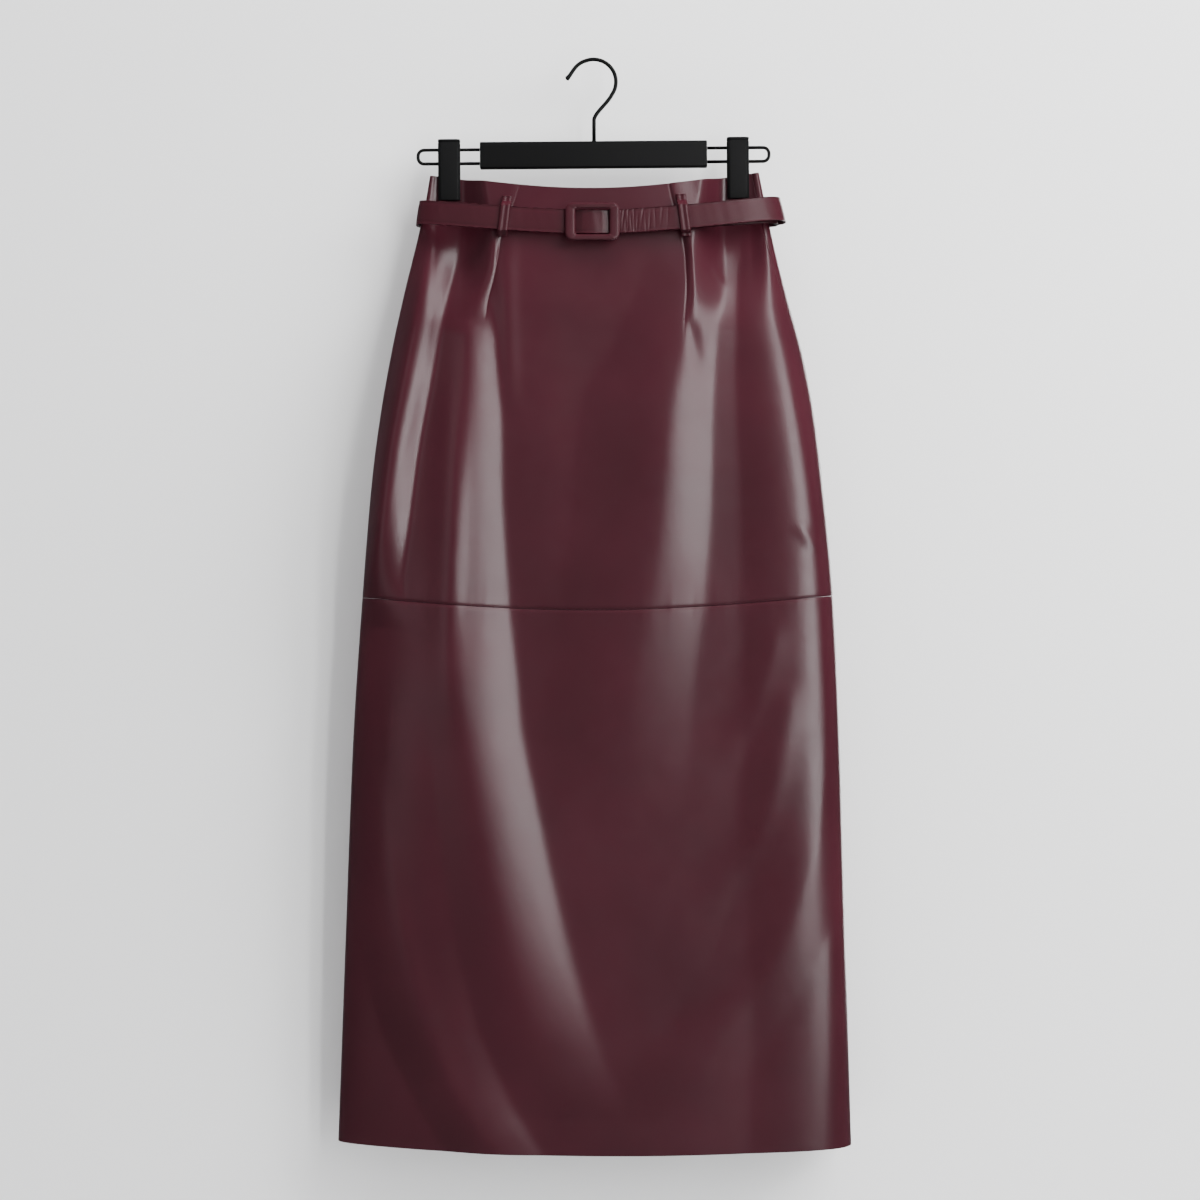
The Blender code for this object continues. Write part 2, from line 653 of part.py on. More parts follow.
def make_buckle():
    """The covered frame, rounded all round its section, and the bar across its middle."""
    outer = np.array(rounded_rectangle(BUCKLE_WIDTH, BUCKLE_HEIGHT, BUCKLE_CORNER, 5))
    window = np.array(rounded_rectangle(WINDOW_WIDTH, WINDOW_HEIGHT, WINDOW_CORNER, 5))
    centre_z = float(belt_height(np.array(BUCKLE_X - SKIRT_X), np.array(BUCKLE_BACK_Y)))
    around, section = len(outer), 10
    points = []
    for step in range(section):
        angle = 2 * math.pi * step / section
        across = 0.5 + 0.5 * math.copysign(abs(math.cos(angle)) ** BUCKLE_SQUARENESS, math.cos(angle))
        out = 0.5 + 0.5 * math.copysign(abs(math.sin(angle)) ** BUCKLE_SQUARENESS, math.sin(angle))
        y = BUCKLE_BACK_Y - BUCKLE_THICK * out
        for edge, hole in zip(outer, window):
            x, z = hole + (edge - hole) * across
            points.append((BUCKLE_X + x, y, centre_z + z))
    faces = []
    for step in range(section):
        for i in range(around):
            a, b = step * around + i, step * around + (i + 1) % around
            after = (step + 1) % section * around
            faces.append([a, b, after + (i + 1) % around, after + i])
    mesh_object("buckle_frame", points, faces, BURGUNDY)
    reach = WINDOW_HEIGHT / 2 - GAP
    path = [(BUCKLE_X, BAR_Y, centre_z - reach), (BUCKLE_X, BAR_Y, centre_z + reach)]
    wire("buckle_bar", path, BAR_RADIUS, 2, BLACK_WIRE)


def surface_y(x, z, side):
    """How far out the skirt's face lies at a place, on the front (side -1) or the back (1)."""
    down = WAIST_Z - z
    for _ in range(4):
        down = down + float(height_at(np.array(x), down)) - z
    ring = level(max(down, 0))
    place = front_place(ring, x) if side < 0 else back_place(ring, x)
    return float(np.interp(place, ring.along, ring.y))


def make_belt_loop(spec):
    """A strip sewn to the skirt at its top and foot, which stands off in between to let the strap through."""
    steps = 14
    t = np.linspace(0, 1, steps + 1)
    x = spec.top_x + (spec.foot_x - spec.top_x) * t - SKIRT_X
    z = spec.top_z + (spec.foot_z - spec.top_z) * t
    ring_x, ring_y, *_ = belt_ring()
    on_side = ring_y * spec.side > 0
    order = np.argsort(ring_x[on_side])
    strap_y = np.interp(x, ring_x[on_side][order], ring_y[on_side][order])
    layers_depth = STRAP_THICK / 2 + GAP + (spec.layers - 1) * float(read(FREE_END_LIFT, "lift", 90.0))
    over_strap = strap_y + spec.side * (layers_depth + LEAN_FRONT)
    across = np.linspace(-LOOP_WIDTH / 2, LOOP_WIDTH / 2, 7)
    cloth = np.array([[surface_y(cx + dx, cz, spec.side) for cx, cz in zip(x, z)] for dx in across])
    on_cloth = (np.max(cloth * spec.side, axis=0) + LOOP_CLEAR) * spec.side
    strap_z = belt_height(x, strap_y)
    clear = STRAP_WIDTH / 2 + LOOP_OVER_STRAP
    lifted = 1 - ease((np.abs(z - strap_z) - clear) / LOOP_TURN)
    y = on_cloth + (over_strap - on_cloth) * lifted
    slope_y, slope_z = np.gradient(y), np.gradient(z)
    length = np.hypot(slope_y, slope_z)
    out_y, out_z = -slope_z / length * spec.side, slope_y / length * spec.side
    grids = []
    for outward in (LOOP_THICK, 0):
        rows = []
        for i in range(steps + 1):
            py, pz = y[i] + outward * out_y[i], z[i] + outward * out_z[i]
            rows.append([(x[i] + SKIRT_X + dx, py, pz) for dx in (across[0], across[-1])])
        grids.append(rows)
    wall(spec.name, *grids, BURGUNDY)


# Hanger


def make_hanger():
    tilt = bpy.data.objects.new("hanger_tilt", None)
    tilt.location = (0, 0, BAR_Z * MM)
    bpy.context.scene.collection.objects.link(tilt)
    pieces = [make_bar(), *make_frame_wires(), *make_clips()]
    tilt.rotation_euler = (0, HANGER_TILT, 0)
    for piece in pieces:
        piece.parent = tilt
        piece.location = (0, 0, -BAR_Z * MM)
    make_hook()


def make_bar():
    x, y = BAR_LENGTH / 2, BAR_DEPTH / 2
    outline = [(-x, -y), (x, -y), (x, y), (-x, y)]
    bar = prism("hanger_bar", outline, BAR_Z - BAR_HEIGHT / 2, BAR_Z + BAR_HEIGHT / 2, MATTE_BLACK)
    bevel = bar.modifiers.new("edges", "BEVEL")
    bevel.width = 1.6 * MM
    bevel.segments = 2
    return bar


def make_frame_wires():
    """The two ends of the flat wire frame, each a loop that comes out of the end of the bar."""
    z = BAR_Z - FRAME_DROP
    for name, sign in (("hanger_wire_left", -1), ("hanger_wire_right", 1)):
        corner_x = FRAME_HALF_LENGTH - FRAME_CORNER
        rise = FRAME_HALF_HEIGHT - FRAME_CORNER
        loop = arc(corner_x, z - rise, FRAME_CORNER, -90, 0, 7)
        loop += arc(corner_x, z + rise, FRAME_CORNER, 0, 90, 7)
        start = BAR_LENGTH / 2 + GAP
        path = [(start, 0, z - FRAME_HALF_HEIGHT), *loop, (start, 0, z + FRAME_HALF_HEIGHT)]
        path = [(sign * px, py, pz) for px, py, pz in path]
        yield wire(name, path, FRAME_WIRE_RADIUS, 2, BLACK_WIRE)


def make_clips():
    """Two jaws a clip: both are flat inside, and the outer edges are cut away at a slant."""
    half = CLIP_WIDTH / 2
    for name, clip_x in (("clip_left", -CLIP_X), ("clip_right", CLIP_X)):
        for jaw, side in (("front", -1), ("back", 1)):
            flat = half - CLIP_CHAMFER
            slant = JAW_OUTER - CLIP_CHAMFER * 0.7
            outline = [(-half, JAW_INNER), (half, JAW_INNER), (half, slant), (flat, JAW_OUTER)]
            outline += [(-flat, JAW_OUTER), (-half, slant)]
            outline = [(clip_x + x, side * y) for x, y in outline]
            yield prism(f"{name}_{jaw}_jaw", outline, CLIP_BOTTOM, CLIP_TOP, MATTE_BLACK)


def make_hook():
    """The wire hook: a flared tip, a round crown and a soft bend into the upright stem."""
    centre_z = HOOK_WIRE_RADIUS - HOOK_RADIUS
    crown = arc(0, centre_z, HOOK_RADIUS, 110, -35, 19)
    first, last = crown[0], crown[-1]
    tip = bend((-27.5, -18.1), (-21, -13), (-20, -3), (first[0], first[2]), 9)
    stem_top = -58.0
    shoulder = bend((last[0], last[2]), (14, -42), (2.5, -50), (0.5, stem_top), 10)
    stem_foot = (0.5, 0.0, BAR_Z + BAR_HEIGHT / 2 + GAP)
    wire("hanger_hook", [*tip[:-1], *crown, *shoulder[1:], stem_foot], HOOK_WIRE_RADIUS, 3, BLACK_WIRE)


def main():
    for old in list(bpy.data.objects):
        bpy.data.objects.remove(old)
    make_panels()
    make_zip()
    make_strap()
    make_buckle()
    for spec in BELT_LOOPS:
        make_belt_loop(spec)
    make_hanger()


main()
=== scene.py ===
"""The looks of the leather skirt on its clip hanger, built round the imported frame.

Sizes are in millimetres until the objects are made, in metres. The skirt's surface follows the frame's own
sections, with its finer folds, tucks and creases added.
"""

import math
from collections import namedtuple

import bmesh
import bpy
import numpy as np
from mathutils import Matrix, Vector


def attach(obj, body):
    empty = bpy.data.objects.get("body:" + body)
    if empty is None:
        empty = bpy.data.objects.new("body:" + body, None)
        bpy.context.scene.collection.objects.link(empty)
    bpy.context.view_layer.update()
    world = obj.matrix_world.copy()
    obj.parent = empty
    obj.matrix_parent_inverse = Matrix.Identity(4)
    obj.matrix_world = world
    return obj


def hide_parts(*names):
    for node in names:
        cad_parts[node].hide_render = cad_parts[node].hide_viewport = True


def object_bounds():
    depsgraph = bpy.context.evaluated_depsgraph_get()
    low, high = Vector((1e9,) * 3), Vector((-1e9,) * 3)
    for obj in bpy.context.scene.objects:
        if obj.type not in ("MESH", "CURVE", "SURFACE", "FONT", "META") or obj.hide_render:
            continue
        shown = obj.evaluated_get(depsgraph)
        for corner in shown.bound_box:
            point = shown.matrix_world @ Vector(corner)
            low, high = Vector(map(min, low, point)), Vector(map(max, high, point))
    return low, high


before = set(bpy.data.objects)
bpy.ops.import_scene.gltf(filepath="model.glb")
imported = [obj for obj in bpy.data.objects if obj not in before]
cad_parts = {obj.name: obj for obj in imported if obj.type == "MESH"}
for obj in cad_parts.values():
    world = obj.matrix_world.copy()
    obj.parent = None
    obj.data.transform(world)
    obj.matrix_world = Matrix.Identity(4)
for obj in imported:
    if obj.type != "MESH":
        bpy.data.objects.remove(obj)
cad_low, cad_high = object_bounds()

MM = 0.001
BODY = "root"
GAP = 0.3

# Skirt, as in the frame
WALL = 1.4
REST_DEPTH = WALL + GAP / 2  # the outer face's least distance from the middle, where front and back meet
SKIRT_X = 3.0
WAIST_Z = -113.1
SEAM_DOWN = 422.5
HEM_DOWN = 967.0
DIP_POWER = 1.3
POINTS_ROUND = 2880
ZIP_LENGTH = 200.0

Section = namedtuple("Section", "down left right front back square dip tilt")
SECTIONS = (
    Section(0, 166.5, 162.5, 24, 18, 2.2, 16.5, 3),
    Section(30, 171.5, 168.5, 27, 20, 2.4, 16, 3),
    Section(60, 178, 174.5, 30, 22.5, 2.6, 15.5, 3),
    Section(120, 192.5, 189, 39, 26, 3.1, 15, 3),
    Section(180, 205, 205, 44, 27.5, 3.7, 14.5, 2.5),
    Section(240, 215.3, 216.5, 47, 28, 4.2, 14, 2.5),
    Section(300, 223, 224, 48, 28, 4.6, 13.5, 2),
    Section(422.5, 233, 235.5, 48, 28, 5, 12.8, 2),
    Section(560, 242, 242, 46, 28, 4.9, 11, 0),
    Section(760, 250, 248, 42, 27, 4.2, 9.5, -1.5),
    Section(967, 258, 254.5, 37, 26, 2.8, 8, -4),
)

SeamTurn = namedtuple("SeamTurn", "down forward")
RIGHT_SEAM = (
    SeamTurn(0, 12),
    SeamTurn(120, 18),
    SeamTurn(260, 14),
    SeamTurn(422, 6),
    SeamTurn(520, 0),
    SeamTurn(967, 0),
)

# Each fold is a rounded ridge: its crest, how wide it rises on the left and falls on the right, and how
# high it stands.
Fold = namedtuple("Fold", "down crest rise fall height")
FRONT_FOLDS = {
    "left_side": (
        Fold(30, -156, 12, 22, 0),
        Fold(60, -161, 12, 24, 8),
        Fold(125, -176, 14, 27, 13),
        Fold(205, -191, 14, 28, 15),
        Fold(275, -204, 13, 28, 16),
        Fold(345, -213, 12, 28, 15),
        Fold(395, -219, 12, 28, 10),
        Fold(450, -223, 14, 40, 0),
    ),
    "left_pleat": (
        Fold(90, -126, 26, 24, 0),
        Fold(125, -128, 30, 24, 3),
        Fold(160, -128, 36, 28, 7),
        Fold(225, -129, 42, 34, 8.5),
        Fold(325, -133, 60, 40, 9.5),
        Fold(430, -134, 80, 48, 11),
        Fold(520, -134, 80, 56, 12.5),
        Fold(630, -118, 80, 60, 12),
        Fold(730, -98, 80, 62, 10.5),
        Fold(830, -70, 80, 62, 7),
        Fold(930, -34, 80, 60, 0),
    ),
    "left_hem": (
        Fold(480, -212, 30, 40, 0),
        Fold(600, -206, 34, 44, 5),
        Fold(720, -196, 40, 48, 7),
        Fold(830, -172, 44, 50, 7.5),
        Fold(920, -132, 44, 50, 6.5),
        Fold(967, -104, 44, 50, 5),
    ),
    "right_pleat": (
        Fold(60, 100, 40, 30, 0),
        Fold(150, 84, 60, 34, 4),
        Fold(225, 70, 80, 42, 8),
        Fold(325, 62, 80, 48, 8),
        Fold(400, 52, 80, 54, 6.5),
        Fold(480, 38, 80, 58, 4.5),
        Fold(640, 24, 80, 60, 0),
    ),
    "right_side": (
        Fold(20, 158, 12, 8, 0),
        Fold(60, 166, 20, 12, 3),
        Fold(125, 176, 34, 16, 6),
        Fold(225, 194, 52, 18, 9),
        Fold(325, 211, 64, 18, 10),
        Fold(430, 221, 72, 18, 9),
        Fold(560, 226, 76, 20, 8),
        Fold(660, 216, 70, 28, 5),
        Fold(740, 190, 60, 40, 3.5),
        Fold(820, 146, 60, 46, 2.6),
        Fold(880, 100, 60, 46, 1.6),
        Fold(930, 60, 60, 40, 0),
    ),
    "right_hem": (
        Fold(560, 234, 90, 14, 0),
        Fold(700, 239, 84, 12, 7),
        Fold(830, 243, 84, 11, 8.5),
        Fold(967, 246, 90, 11, 9),
    ),
}
BACK_FOLDS = {
    "left": (
        Fold(90, -100, 30, 40, 0),
        Fold(230, -112, 50, 50, 3),
        Fold(500, -120, 60, 60, 3),
        Fold(900, -90, 60, 60, 0),
    ),
    "right": (
        Fold(90, 104, 40, 30, 0),
        Fold(260, 122, 50, 40, 3.5),
        Fold(600, 128, 60, 60, 3),
        Fold(940, 100, 60, 60, 0),
    ),
}
FOLD_POWER, CREST_SOFTNESS, FOOT_SOFTNESS = 1.35, 0.16, 0.12

# Narrow creases, as ridges (height over 0) or troughs (under 0).
FRONT_CREASES = {
    "right_tuck_second": (
        Fold(134, 92, 5, 6, 0),
        Fold(150, 94, 5, 7, -1.0),
        Fold(175, 98, 6, 8, -0.8),
        Fold(200, 101, 7, 9, 0),
    ),
    "right_hip_wrinkle": (
        Fold(78, 113, 3, 3, 0),
        Fold(95, 119, 3, 4, 0.5),
        Fold(115, 130, 4, 4, 0),
    ),
    "right_edge_kink": (
        Fold(345, 196, 8, 8, 0),
        Fold(366, 210, 8, 8, 1.2),
        Fold(380, 219, 8, 8, 0),
    ),
    "right_diagonal_upper": (
        Fold(440, 176, 16, 10, 0),
        Fold(470, 170, 18, 14, 1.3),
        Fold(533, 151, 20, 16, 1.4),
        Fold(590, 130, 18, 14, 0),
    ),
    "right_diagonal_lower": (
        Fold(500, 192, 14, 10, 0),
        Fold(545, 184, 18, 15, 1.4),
        Fold(612, 170, 20, 16, 1.6),
        Fold(672, 146, 22, 18, 1.4),
        Fold(730, 112, 22, 14, 0),
    ),
    "right_sweep": (
        Fold(640, 196, 20, 20, 0),
        Fold(711, 171, 24, 22, -0.9),
        Fold(780, 141, 26, 24, -1.0),
        Fold(829, 92, 28, 26, -0.8),
        Fold(880, 38, 30, 28, 0),
    ),
    "left_inner": (
        Fold(40, -87, 8, 9, 0),
        Fold(90, -88, 9, 9, 1.3),
        Fold(170, -86, 10, 10, 1.3),
        Fold(235, -84, 10, 10, 0),
    ),
    "left_second": (
        Fold(200, -138, 12, 11, 0),
        Fold(260, -140, 14, 12, 1.6),
        Fold(330, -142, 16, 12, 3.0),
        Fold(400, -144, 18, 12, 3.6),
        Fold(470, -146, 18, 14, 2.4),
        Fold(560, -142, 20, 16, 0),
    ),
    "left_valley": (
        Fold(150, -146, 12, 12, 0),
        Fold(230, -160, 12, 14, -0.8),
        Fold(320, -176, 14, 16, -0.8),
        Fold(410, -186, 16, 16, 0),
    ),
    "centre_soft": (
        Fold(40, -58, 30, 30, 0),
        Fold(200, -50, 40, 40, 1.0),
        Fold(380, -30, 50, 50, 1.0),
        Fold(520, -20, 50, 50, 0),
    ),
}
BACK_CREASES = {
    "left_diagonal": (
        Fold(470, -60, 20, 16, 0),
        Fold(560, -86, 22, 18, 1.4),
        Fold(680, -130, 26, 20, 1.6),
        Fold(800, -176, 26, 20, 0),
    ),
    "right_diagonal": (
        Fold(520, 70, 16, 20, 0),
        Fold(640, 104, 18, 24, 1.6),
        Fold(760, 150, 20, 26, 1.4),
        Fold(860, 190, 20, 26, 0),
    ),
    "right_hip": (
        Fold(120, 150, 10, 14, 0),
        Fold(200, 166, 12, 16, 1.4),
        Fold(300, 184, 14, 18, 0),
    ),
}

# The stitched tucks: the side cloth rises steeply from each line over `near`, and falls away over `far`.
Tuck = namedtuple("Tuck", "down line near far lap")
TUCKS = {
    "left": (
        Tuck(0, -76, 9, 22, 0.6),
        Tuck(15, -80, 9, 22, 0.8),
        Tuck(53, -94, 10, 24, 1.6),
        Tuck(72, -97, 9, 26, 3.4),
        Tuck(95, -101, 10, 26, 4.2),
        Tuck(119, -107, 11, 26, 3.0),
        Tuck(140, -110, 12, 26, 0),
    ),
    "right": (
        Tuck(0, 72, 4, 22, 1.4),
        Tuck(15, 75, 4, 24, 1.4),
        Tuck(54, 85.5, 7, 40, 3.4),
        Tuck(77, 88.5, 8, 44, 4.4),
        Tuck(107, 89.5, 9, 44, 4.0),
        Tuck(136, 87.5, 10, 44, 1.2),
        Tuck(160, 86, 10, 44, 0),
    ),
}
TUCK_GROOVE, GROOVE_WIDTH = 0.25, 1.1
FULL_GROOVE_LAP = 2.0

# The cross seam
SEAM_PULL, SEAM_REACH = 0.7, 2.0
PUCKER, PUCKER_REACH = 0.20, 8.0

# Clips
CLIP_X = 144.3
CLIP_TOP, CLIP_BOTTOM = -77.4, -138.6
CLIP_WIDTH = 22.0
CLIP_CHAMFER, CLIP_SLANT, CLIP_CORNER, CLIP_END = 2.8, 0.7, 0.5, 0.8
JAW_INNER, JAW_OUTER = 2.0, 7.0
GRIP_DOWN = 27.0
PINCH_REACH = 130.0
PINCH_OUTER, PINCH_OUTER_SPREAD = 9.0, 0.35
PINCH_INNER, PINCH_INNER_SPREAD = 26.0, 0.16
CLIP_MARGIN = 1.0
PINCH_POWER = 3
FOLDS_FULL_DEPTH = 0.75  # the share of the depth from which the folds have their full height
LIP_DROP, LIP_DEPTH = 3.2, 0.5
LIP_HALF_TOP, LIP_HALF_FLOOR = 0.7, 0.3

# Belt, as in the frame
STRAP_WIDTH, STRAP_THICK = 24.0, 2.0
FIXED_END, TAIL_LENGTH = -5.0, 262.0
BELT_MIDDLE_Z, BELT_LEFT_Z, BELT_RIGHT_Z = -165.0, -152.7, -149.3
BELT_SAG_POWER = 1.5
SIDE_TURN = 16.0
UNDER_LAYER_DROP = 2.5
UNDER_START, UNDER_EASE, UNDER_END, UNDER_END_EASE = 80.0, 100.0, 260.0, 60.0
LEAN_LEFT, LEAN_RIGHT, LEAN_FRONT = 3.5, 6.0, 0.4
BeltOval = namedtuple("BeltOval", "left right front back square")
BELT_OVAL = BeltOval(177.5, 177.5, 33, 25, 4)
Lift = namedtuple("Lift", "along lift")
FREE_END_LIFT = (
    Lift(-70, 0),
    Lift(-32, 2.2),
    Lift(-18, 2.4),
    Lift(-9, 4.4),
    Lift(0, 5.0),
    Lift(9, 4.4),
    Lift(18, 2.4),
    Lift(100, 2.4),
    Lift(160, 4),
    Lift(200, 8),
    Lift(235, 5),
    Lift(262, 2.5),
)
STRAP_CROWN = 0.25
EDGE_DIP, EDGE_LINE, EDGE_LINE_WIDTH = 0.22, 2.6, 0.6  # the line that the edge stitching draws in
STRAP_UNEVEN = 0.10
WRINKLED_END = 85.0
STRAP_STEPS = (2.0, 0.4, 2.0)  # along the strap: before the buckle, by it, and after its wrinkles
STRAP_HALF_ACROSS = (1, 0.985, 0.95, 0.9, 0.84, 0.78, 0.7, 0.55, 0.35, 0.12)
# Wrinkles across the free end just past the buckle, where the strap has been bent in use.
Wrinkle = namedtuple("Wrinkle", "along width depth slant")
STRAP_WRINKLES = (
    Wrinkle(22.5, 0.8, 0.36, 0.6),
    Wrinkle(25.2, 0.7, 0.30, -0.4),
    Wrinkle(27.6, 0.6, 0.26, 0.3),
    Wrinkle(30.0, 0.9, 0.46, 0.8),
    Wrinkle(32.6, 0.6, 0.24, -0.3),
    Wrinkle(35.0, 0.8, 0.34, 0.2),
    Wrinkle(38.0, 0.7, 0.24, -0.6),
    Wrinkle(41.2, 0.9, 0.34, -0.2),
    Wrinkle(44.6, 0.7, 0.22, 0.5),
    Wrinkle(48.6, 0.8, 0.30, 0.9),
    Wrinkle(52.4, 0.7, 0.20, -0.5),
    Wrinkle(56.8, 0.9, 0.24, 0.4),
    Wrinkle(62.0, 0.8, 0.18, -0.3),
    Wrinkle(68.0, 0.9, 0.20, 0.7),
    Wrinkle(74.5, 0.9, 0.14, 0.3),
)

BUCKLE_X = -1.0
BUCKLE_WIDTH, BUCKLE_HEIGHT, BUCKLE_THICK = 53.5, 37.0, 4.5
WINDOW_WIDTH, WINDOW_HEIGHT = 34.0, 25.6
BUCKLE_CORNER, WINDOW_CORNER = 7.0, 2.5
BUCKLE_BACK_Y = -36.9
BUCKLE_SQUARENESS = 0.6
BUCKLE_SECTION = 36
COVER_UNEVEN = 0.03
BAR_RADIUS, BAR_Y = 1.1, -35.4

LOOP_WIDTH, LOOP_THICK, LOOP_CLEAR = 10.0, 1.5, 0.8
LOOP_OVER_STRAP, LOOP_TURN = 1.2, 4.5
LOOP_RIDGE, LOOP_RIDGE_AT, LOOP_RIDGE_WIDTH = 0.45, 2.6, 1.5
FOOT_TURN, TOP_TURN, TURN_REACH = 0.5, 0.3, 0.03
LOOP_PLACE = 90.0  # how far past the buckle the right loop holds the free end
LOOP_LEVELS, LOOP_ROWS, LOOP_COLUMNS = 15, 90, 25
BeltLoop = namedtuple("BeltLoop", "name top_x foot_x top_z foot_z side layers")
BELT_LOOPS = (
    BeltLoop("belt_loop_front_left", -85.5, -90.5, -137.5, -178.5, -1, 1),
    BeltLoop("belt_loop_front_right", 86.5, 92.0, -136.0, -179.0, -1, 2),
    BeltLoop("belt_loop_back_left", -88.0, -90.0, -131.0, -171.0, 1, 1),
    BeltLoop("belt_loop_back_right", 88.0, 90.0, -129.0, -169.0, 1, 1),
)

# Zip
TAPE_WIDTH, TAPE_THICK = 24.0, 0.8
PULL_WIDTH, PULL_THICK = 5.0, 1.6
PULL_TOP, PULL_BOTTOM = 6.0, 22.0
PULL_NECK, PULL_WIDENS = 0.55, 1.4  # the neck's share of the width, and how fast it widens
PULL_ROUND_FROM, PULL_ROUNDNESS, PULL_LEAST = 0.9, 60, 0.2
COIL_RADIUS, COIL_WIRE, COIL_PITCH, COIL_CLEAR = 1.3, 0.35, 1.5, 0.3
ZIP_ROWS, TAPE_COLUMNS, PULL_ROWS, PULL_COLUMNS, COIL_STEPS = 60, 13, 30, 9, 10

# Hanger
HANGER_TILT = math.radians(-0.45)
BAR_LENGTH, BAR_HEIGHT, BAR_DEPTH = 227.0, 26.5, 12.0
BAR_CORNER, BAR_END = 1.8, 1.2
BAR_Z = -93.6
FRAME_WIRE_RADIUS = 1.7
FRAME_DROP = 0.8
FRAME_HALF_LENGTH, FRAME_HALF_HEIGHT, FRAME_CORNER = 175.4, 6.9, 6.0
HOOK_WIRE_RADIUS = 2.0
HOOK_RADIUS = 22.4
TIP_FLARE, TIP_FLARE_REACH = 0.28, 4.0
STEM_X, STEM_TOP = 0.5, -58.0
WIRE_SIDES = 20


# Curves through tables


def through(places, values, at):
    """A smooth curve through the points, with no overshoot, level past its ends."""
    places = np.asarray(places, float)
    values = np.asarray(values, float)
    at = np.clip(at, places[0], places[-1])
    step = np.diff(places)
    slope = np.diff(values) / step
    before, after = slope[:-1], slope[1:]
    turning = before * after <= 0
    weight = (2 * step[1:] + step[:-1]) / np.where(turning, 1, before)
    weight = weight + (step[1:] + 2 * step[:-1]) / np.where(turning, 1, after)
    inner = np.where(turning, 0, 3 * (step[:-1] + step[1:]) / np.where(turning, 1, weight))
    tangent = np.concatenate([[slope[0]], inner, [slope[-1]]])
    i = np.clip(np.searchsorted(places, at, side="right") - 1, 0, len(places) - 2)
    t = (at - places[i]) / step[i]
    start = (1 + 2 * t) * (1 - t) ** 2 * values[i] + t * (1 - t) ** 2 * step[i] * tangent[i]
    end = t * t * (3 - 2 * t) * values[i + 1] + t * t * (t - 1) * step[i] * tangent[i + 1]
    return start + end


def read(table, column, at):
    """One column of a table at a place given by the table's first column."""
    return through([row[0] for row in table], [getattr(row, column) for row in table], at)


def ease(t):
    """0 to 1 with level ends."""
    t = np.clip(t, 0, 1)
    return t * t * (3 - 2 * t)


def waves(at, *lengths):
    """A lively but repeatable unevenness between about -1 and 1, from waves of the given lengths."""
    total = np.zeros_like(np.asarray(at, float))
    for i, length in enumerate(lengths):
        total += np.sin(2 * math.pi * at / length + 1.7 * i + 0.6 * np.sin(2 * math.pi * at / (length * 2.7)))
    return total / len(lengths)


# The skirt's surface


def oval(left, right, front, back, square):
    """A squared oval in plan, from its left end along the front to its right end and back along the rear."""
    angle = np.linspace(0, 2 * math.pi, POINTS_ROUND, endpoint=False)
    cos, sin = -np.cos(angle), -np.sin(angle)
    reach = (np.abs(cos) ** square + np.abs(sin) ** square) ** (-1 / square)
    x = reach * cos * np.where(cos < 0, left, right)
    y = reach * sin * np.where(sin < 0, front, back)
    return x, y


def distances(x, y):
    """How far along a curve each of its points is."""
    return np.concatenate([[0], np.cumsum(np.hypot(np.diff(x), np.diff(y)))])


def outward_normals(x, y, reach):
    """The normals of a closed curve, each square to the line between the points `reach` to either side."""
    ahead_x, ahead_y = np.roll(x, -reach) - np.roll(x, reach), np.roll(y, -reach) - np.roll(y, reach)
    length = np.hypot(ahead_x, ahead_y)
    return ahead_y / length, -ahead_x / length


def ridge(u):
    """A rounded ridge of height 1 at u = 0, with soft feet near u = -1 and 1."""
    bow = 1 + CREST_SOFTNESS**FOLD_POWER - (u * u + CREST_SOFTNESS**2) ** (FOLD_POWER / 2)
    return 0.5 * (bow + np.sqrt(bow * bow + FOOT_SOFTNESS**2))


def fold_height(folds, x, down, shape=ridge):
    total = np.zeros_like(x)
    for rows in folds.values():
        if rows[0].down <= down <= rows[-1].down:
            offset = x - read(rows, "crest", down)
            width = np.where(offset < 0, read(rows, "rise", down), read(rows, "fall", down))
            total += read(rows, "height", down) * shape(offset / width)
    return total


def swell(u):
    """A soft bell of height 1 at u = 0."""
    return np.exp(-u * u)


def tuck_height(x, down):
    """The roll of cloth beside each stitched line, and the groove that the stitching pulls in."""
    total = np.zeros_like(x)
    for name, towards_side in (("left", -1), ("right", 1)):
        rows = TUCKS[name]
        near, lap = read(rows, "near", down), read(rows, "lap", down)
        beside = (x - read(rows, "line", down)) * towards_side
        rise = np.sin(math.pi / 2 * np.clip(beside / near, 0, 1))
        fall = 1 - ease((beside - near) / read(rows, "far", down))
        held = ease(lap / FULL_GROOVE_LAP)
        total += lap * rise * fall - TUCK_GROOVE * held * np.exp(-((beside / GROOVE_WIDTH) ** 2))
    return total


def pinch(x, down):
    """How far the two clips draw the front and the back together, from 0 to 1."""
    total = np.zeros_like(x)
    for clip_x in (-CLIP_X, CLIP_X):
        offset = x + SKIRT_X - clip_x
        outward = offset * np.sign(clip_x) > 0
        spread_outward = PINCH_OUTER + PINCH_OUTER_SPREAD * down
        spread_inward = PINCH_INNER + PINCH_INNER_SPREAD * down
        spread = np.where(outward, spread_outward, spread_inward)
        beside = 1 - ease((np.abs(offset) - CLIP_WIDTH / 2 - CLIP_MARGIN) / spread)
        below = 1 - ease((down - GRIP_DOWN) / PINCH_REACH)
        total = np.maximum(total, beside * below)
    return total


def seam_pucker(along, down):
    """The leather dips into the cross seam and puckers unevenly beside it."""
    away = abs(down - SEAM_DOWN)
    dip = -SEAM_PULL * math.exp(-((away / SEAM_REACH) ** 2))
    return dip + PUCKER * math.exp(-away / PUCKER_REACH) * waves(along, 9.0, 14.0, 23.0, 41.0)


SECTION_SHAPE = ("left", "right", "front", "back", "square")
Level = namedtuple("Level", "down x y normal_x normal_y along")


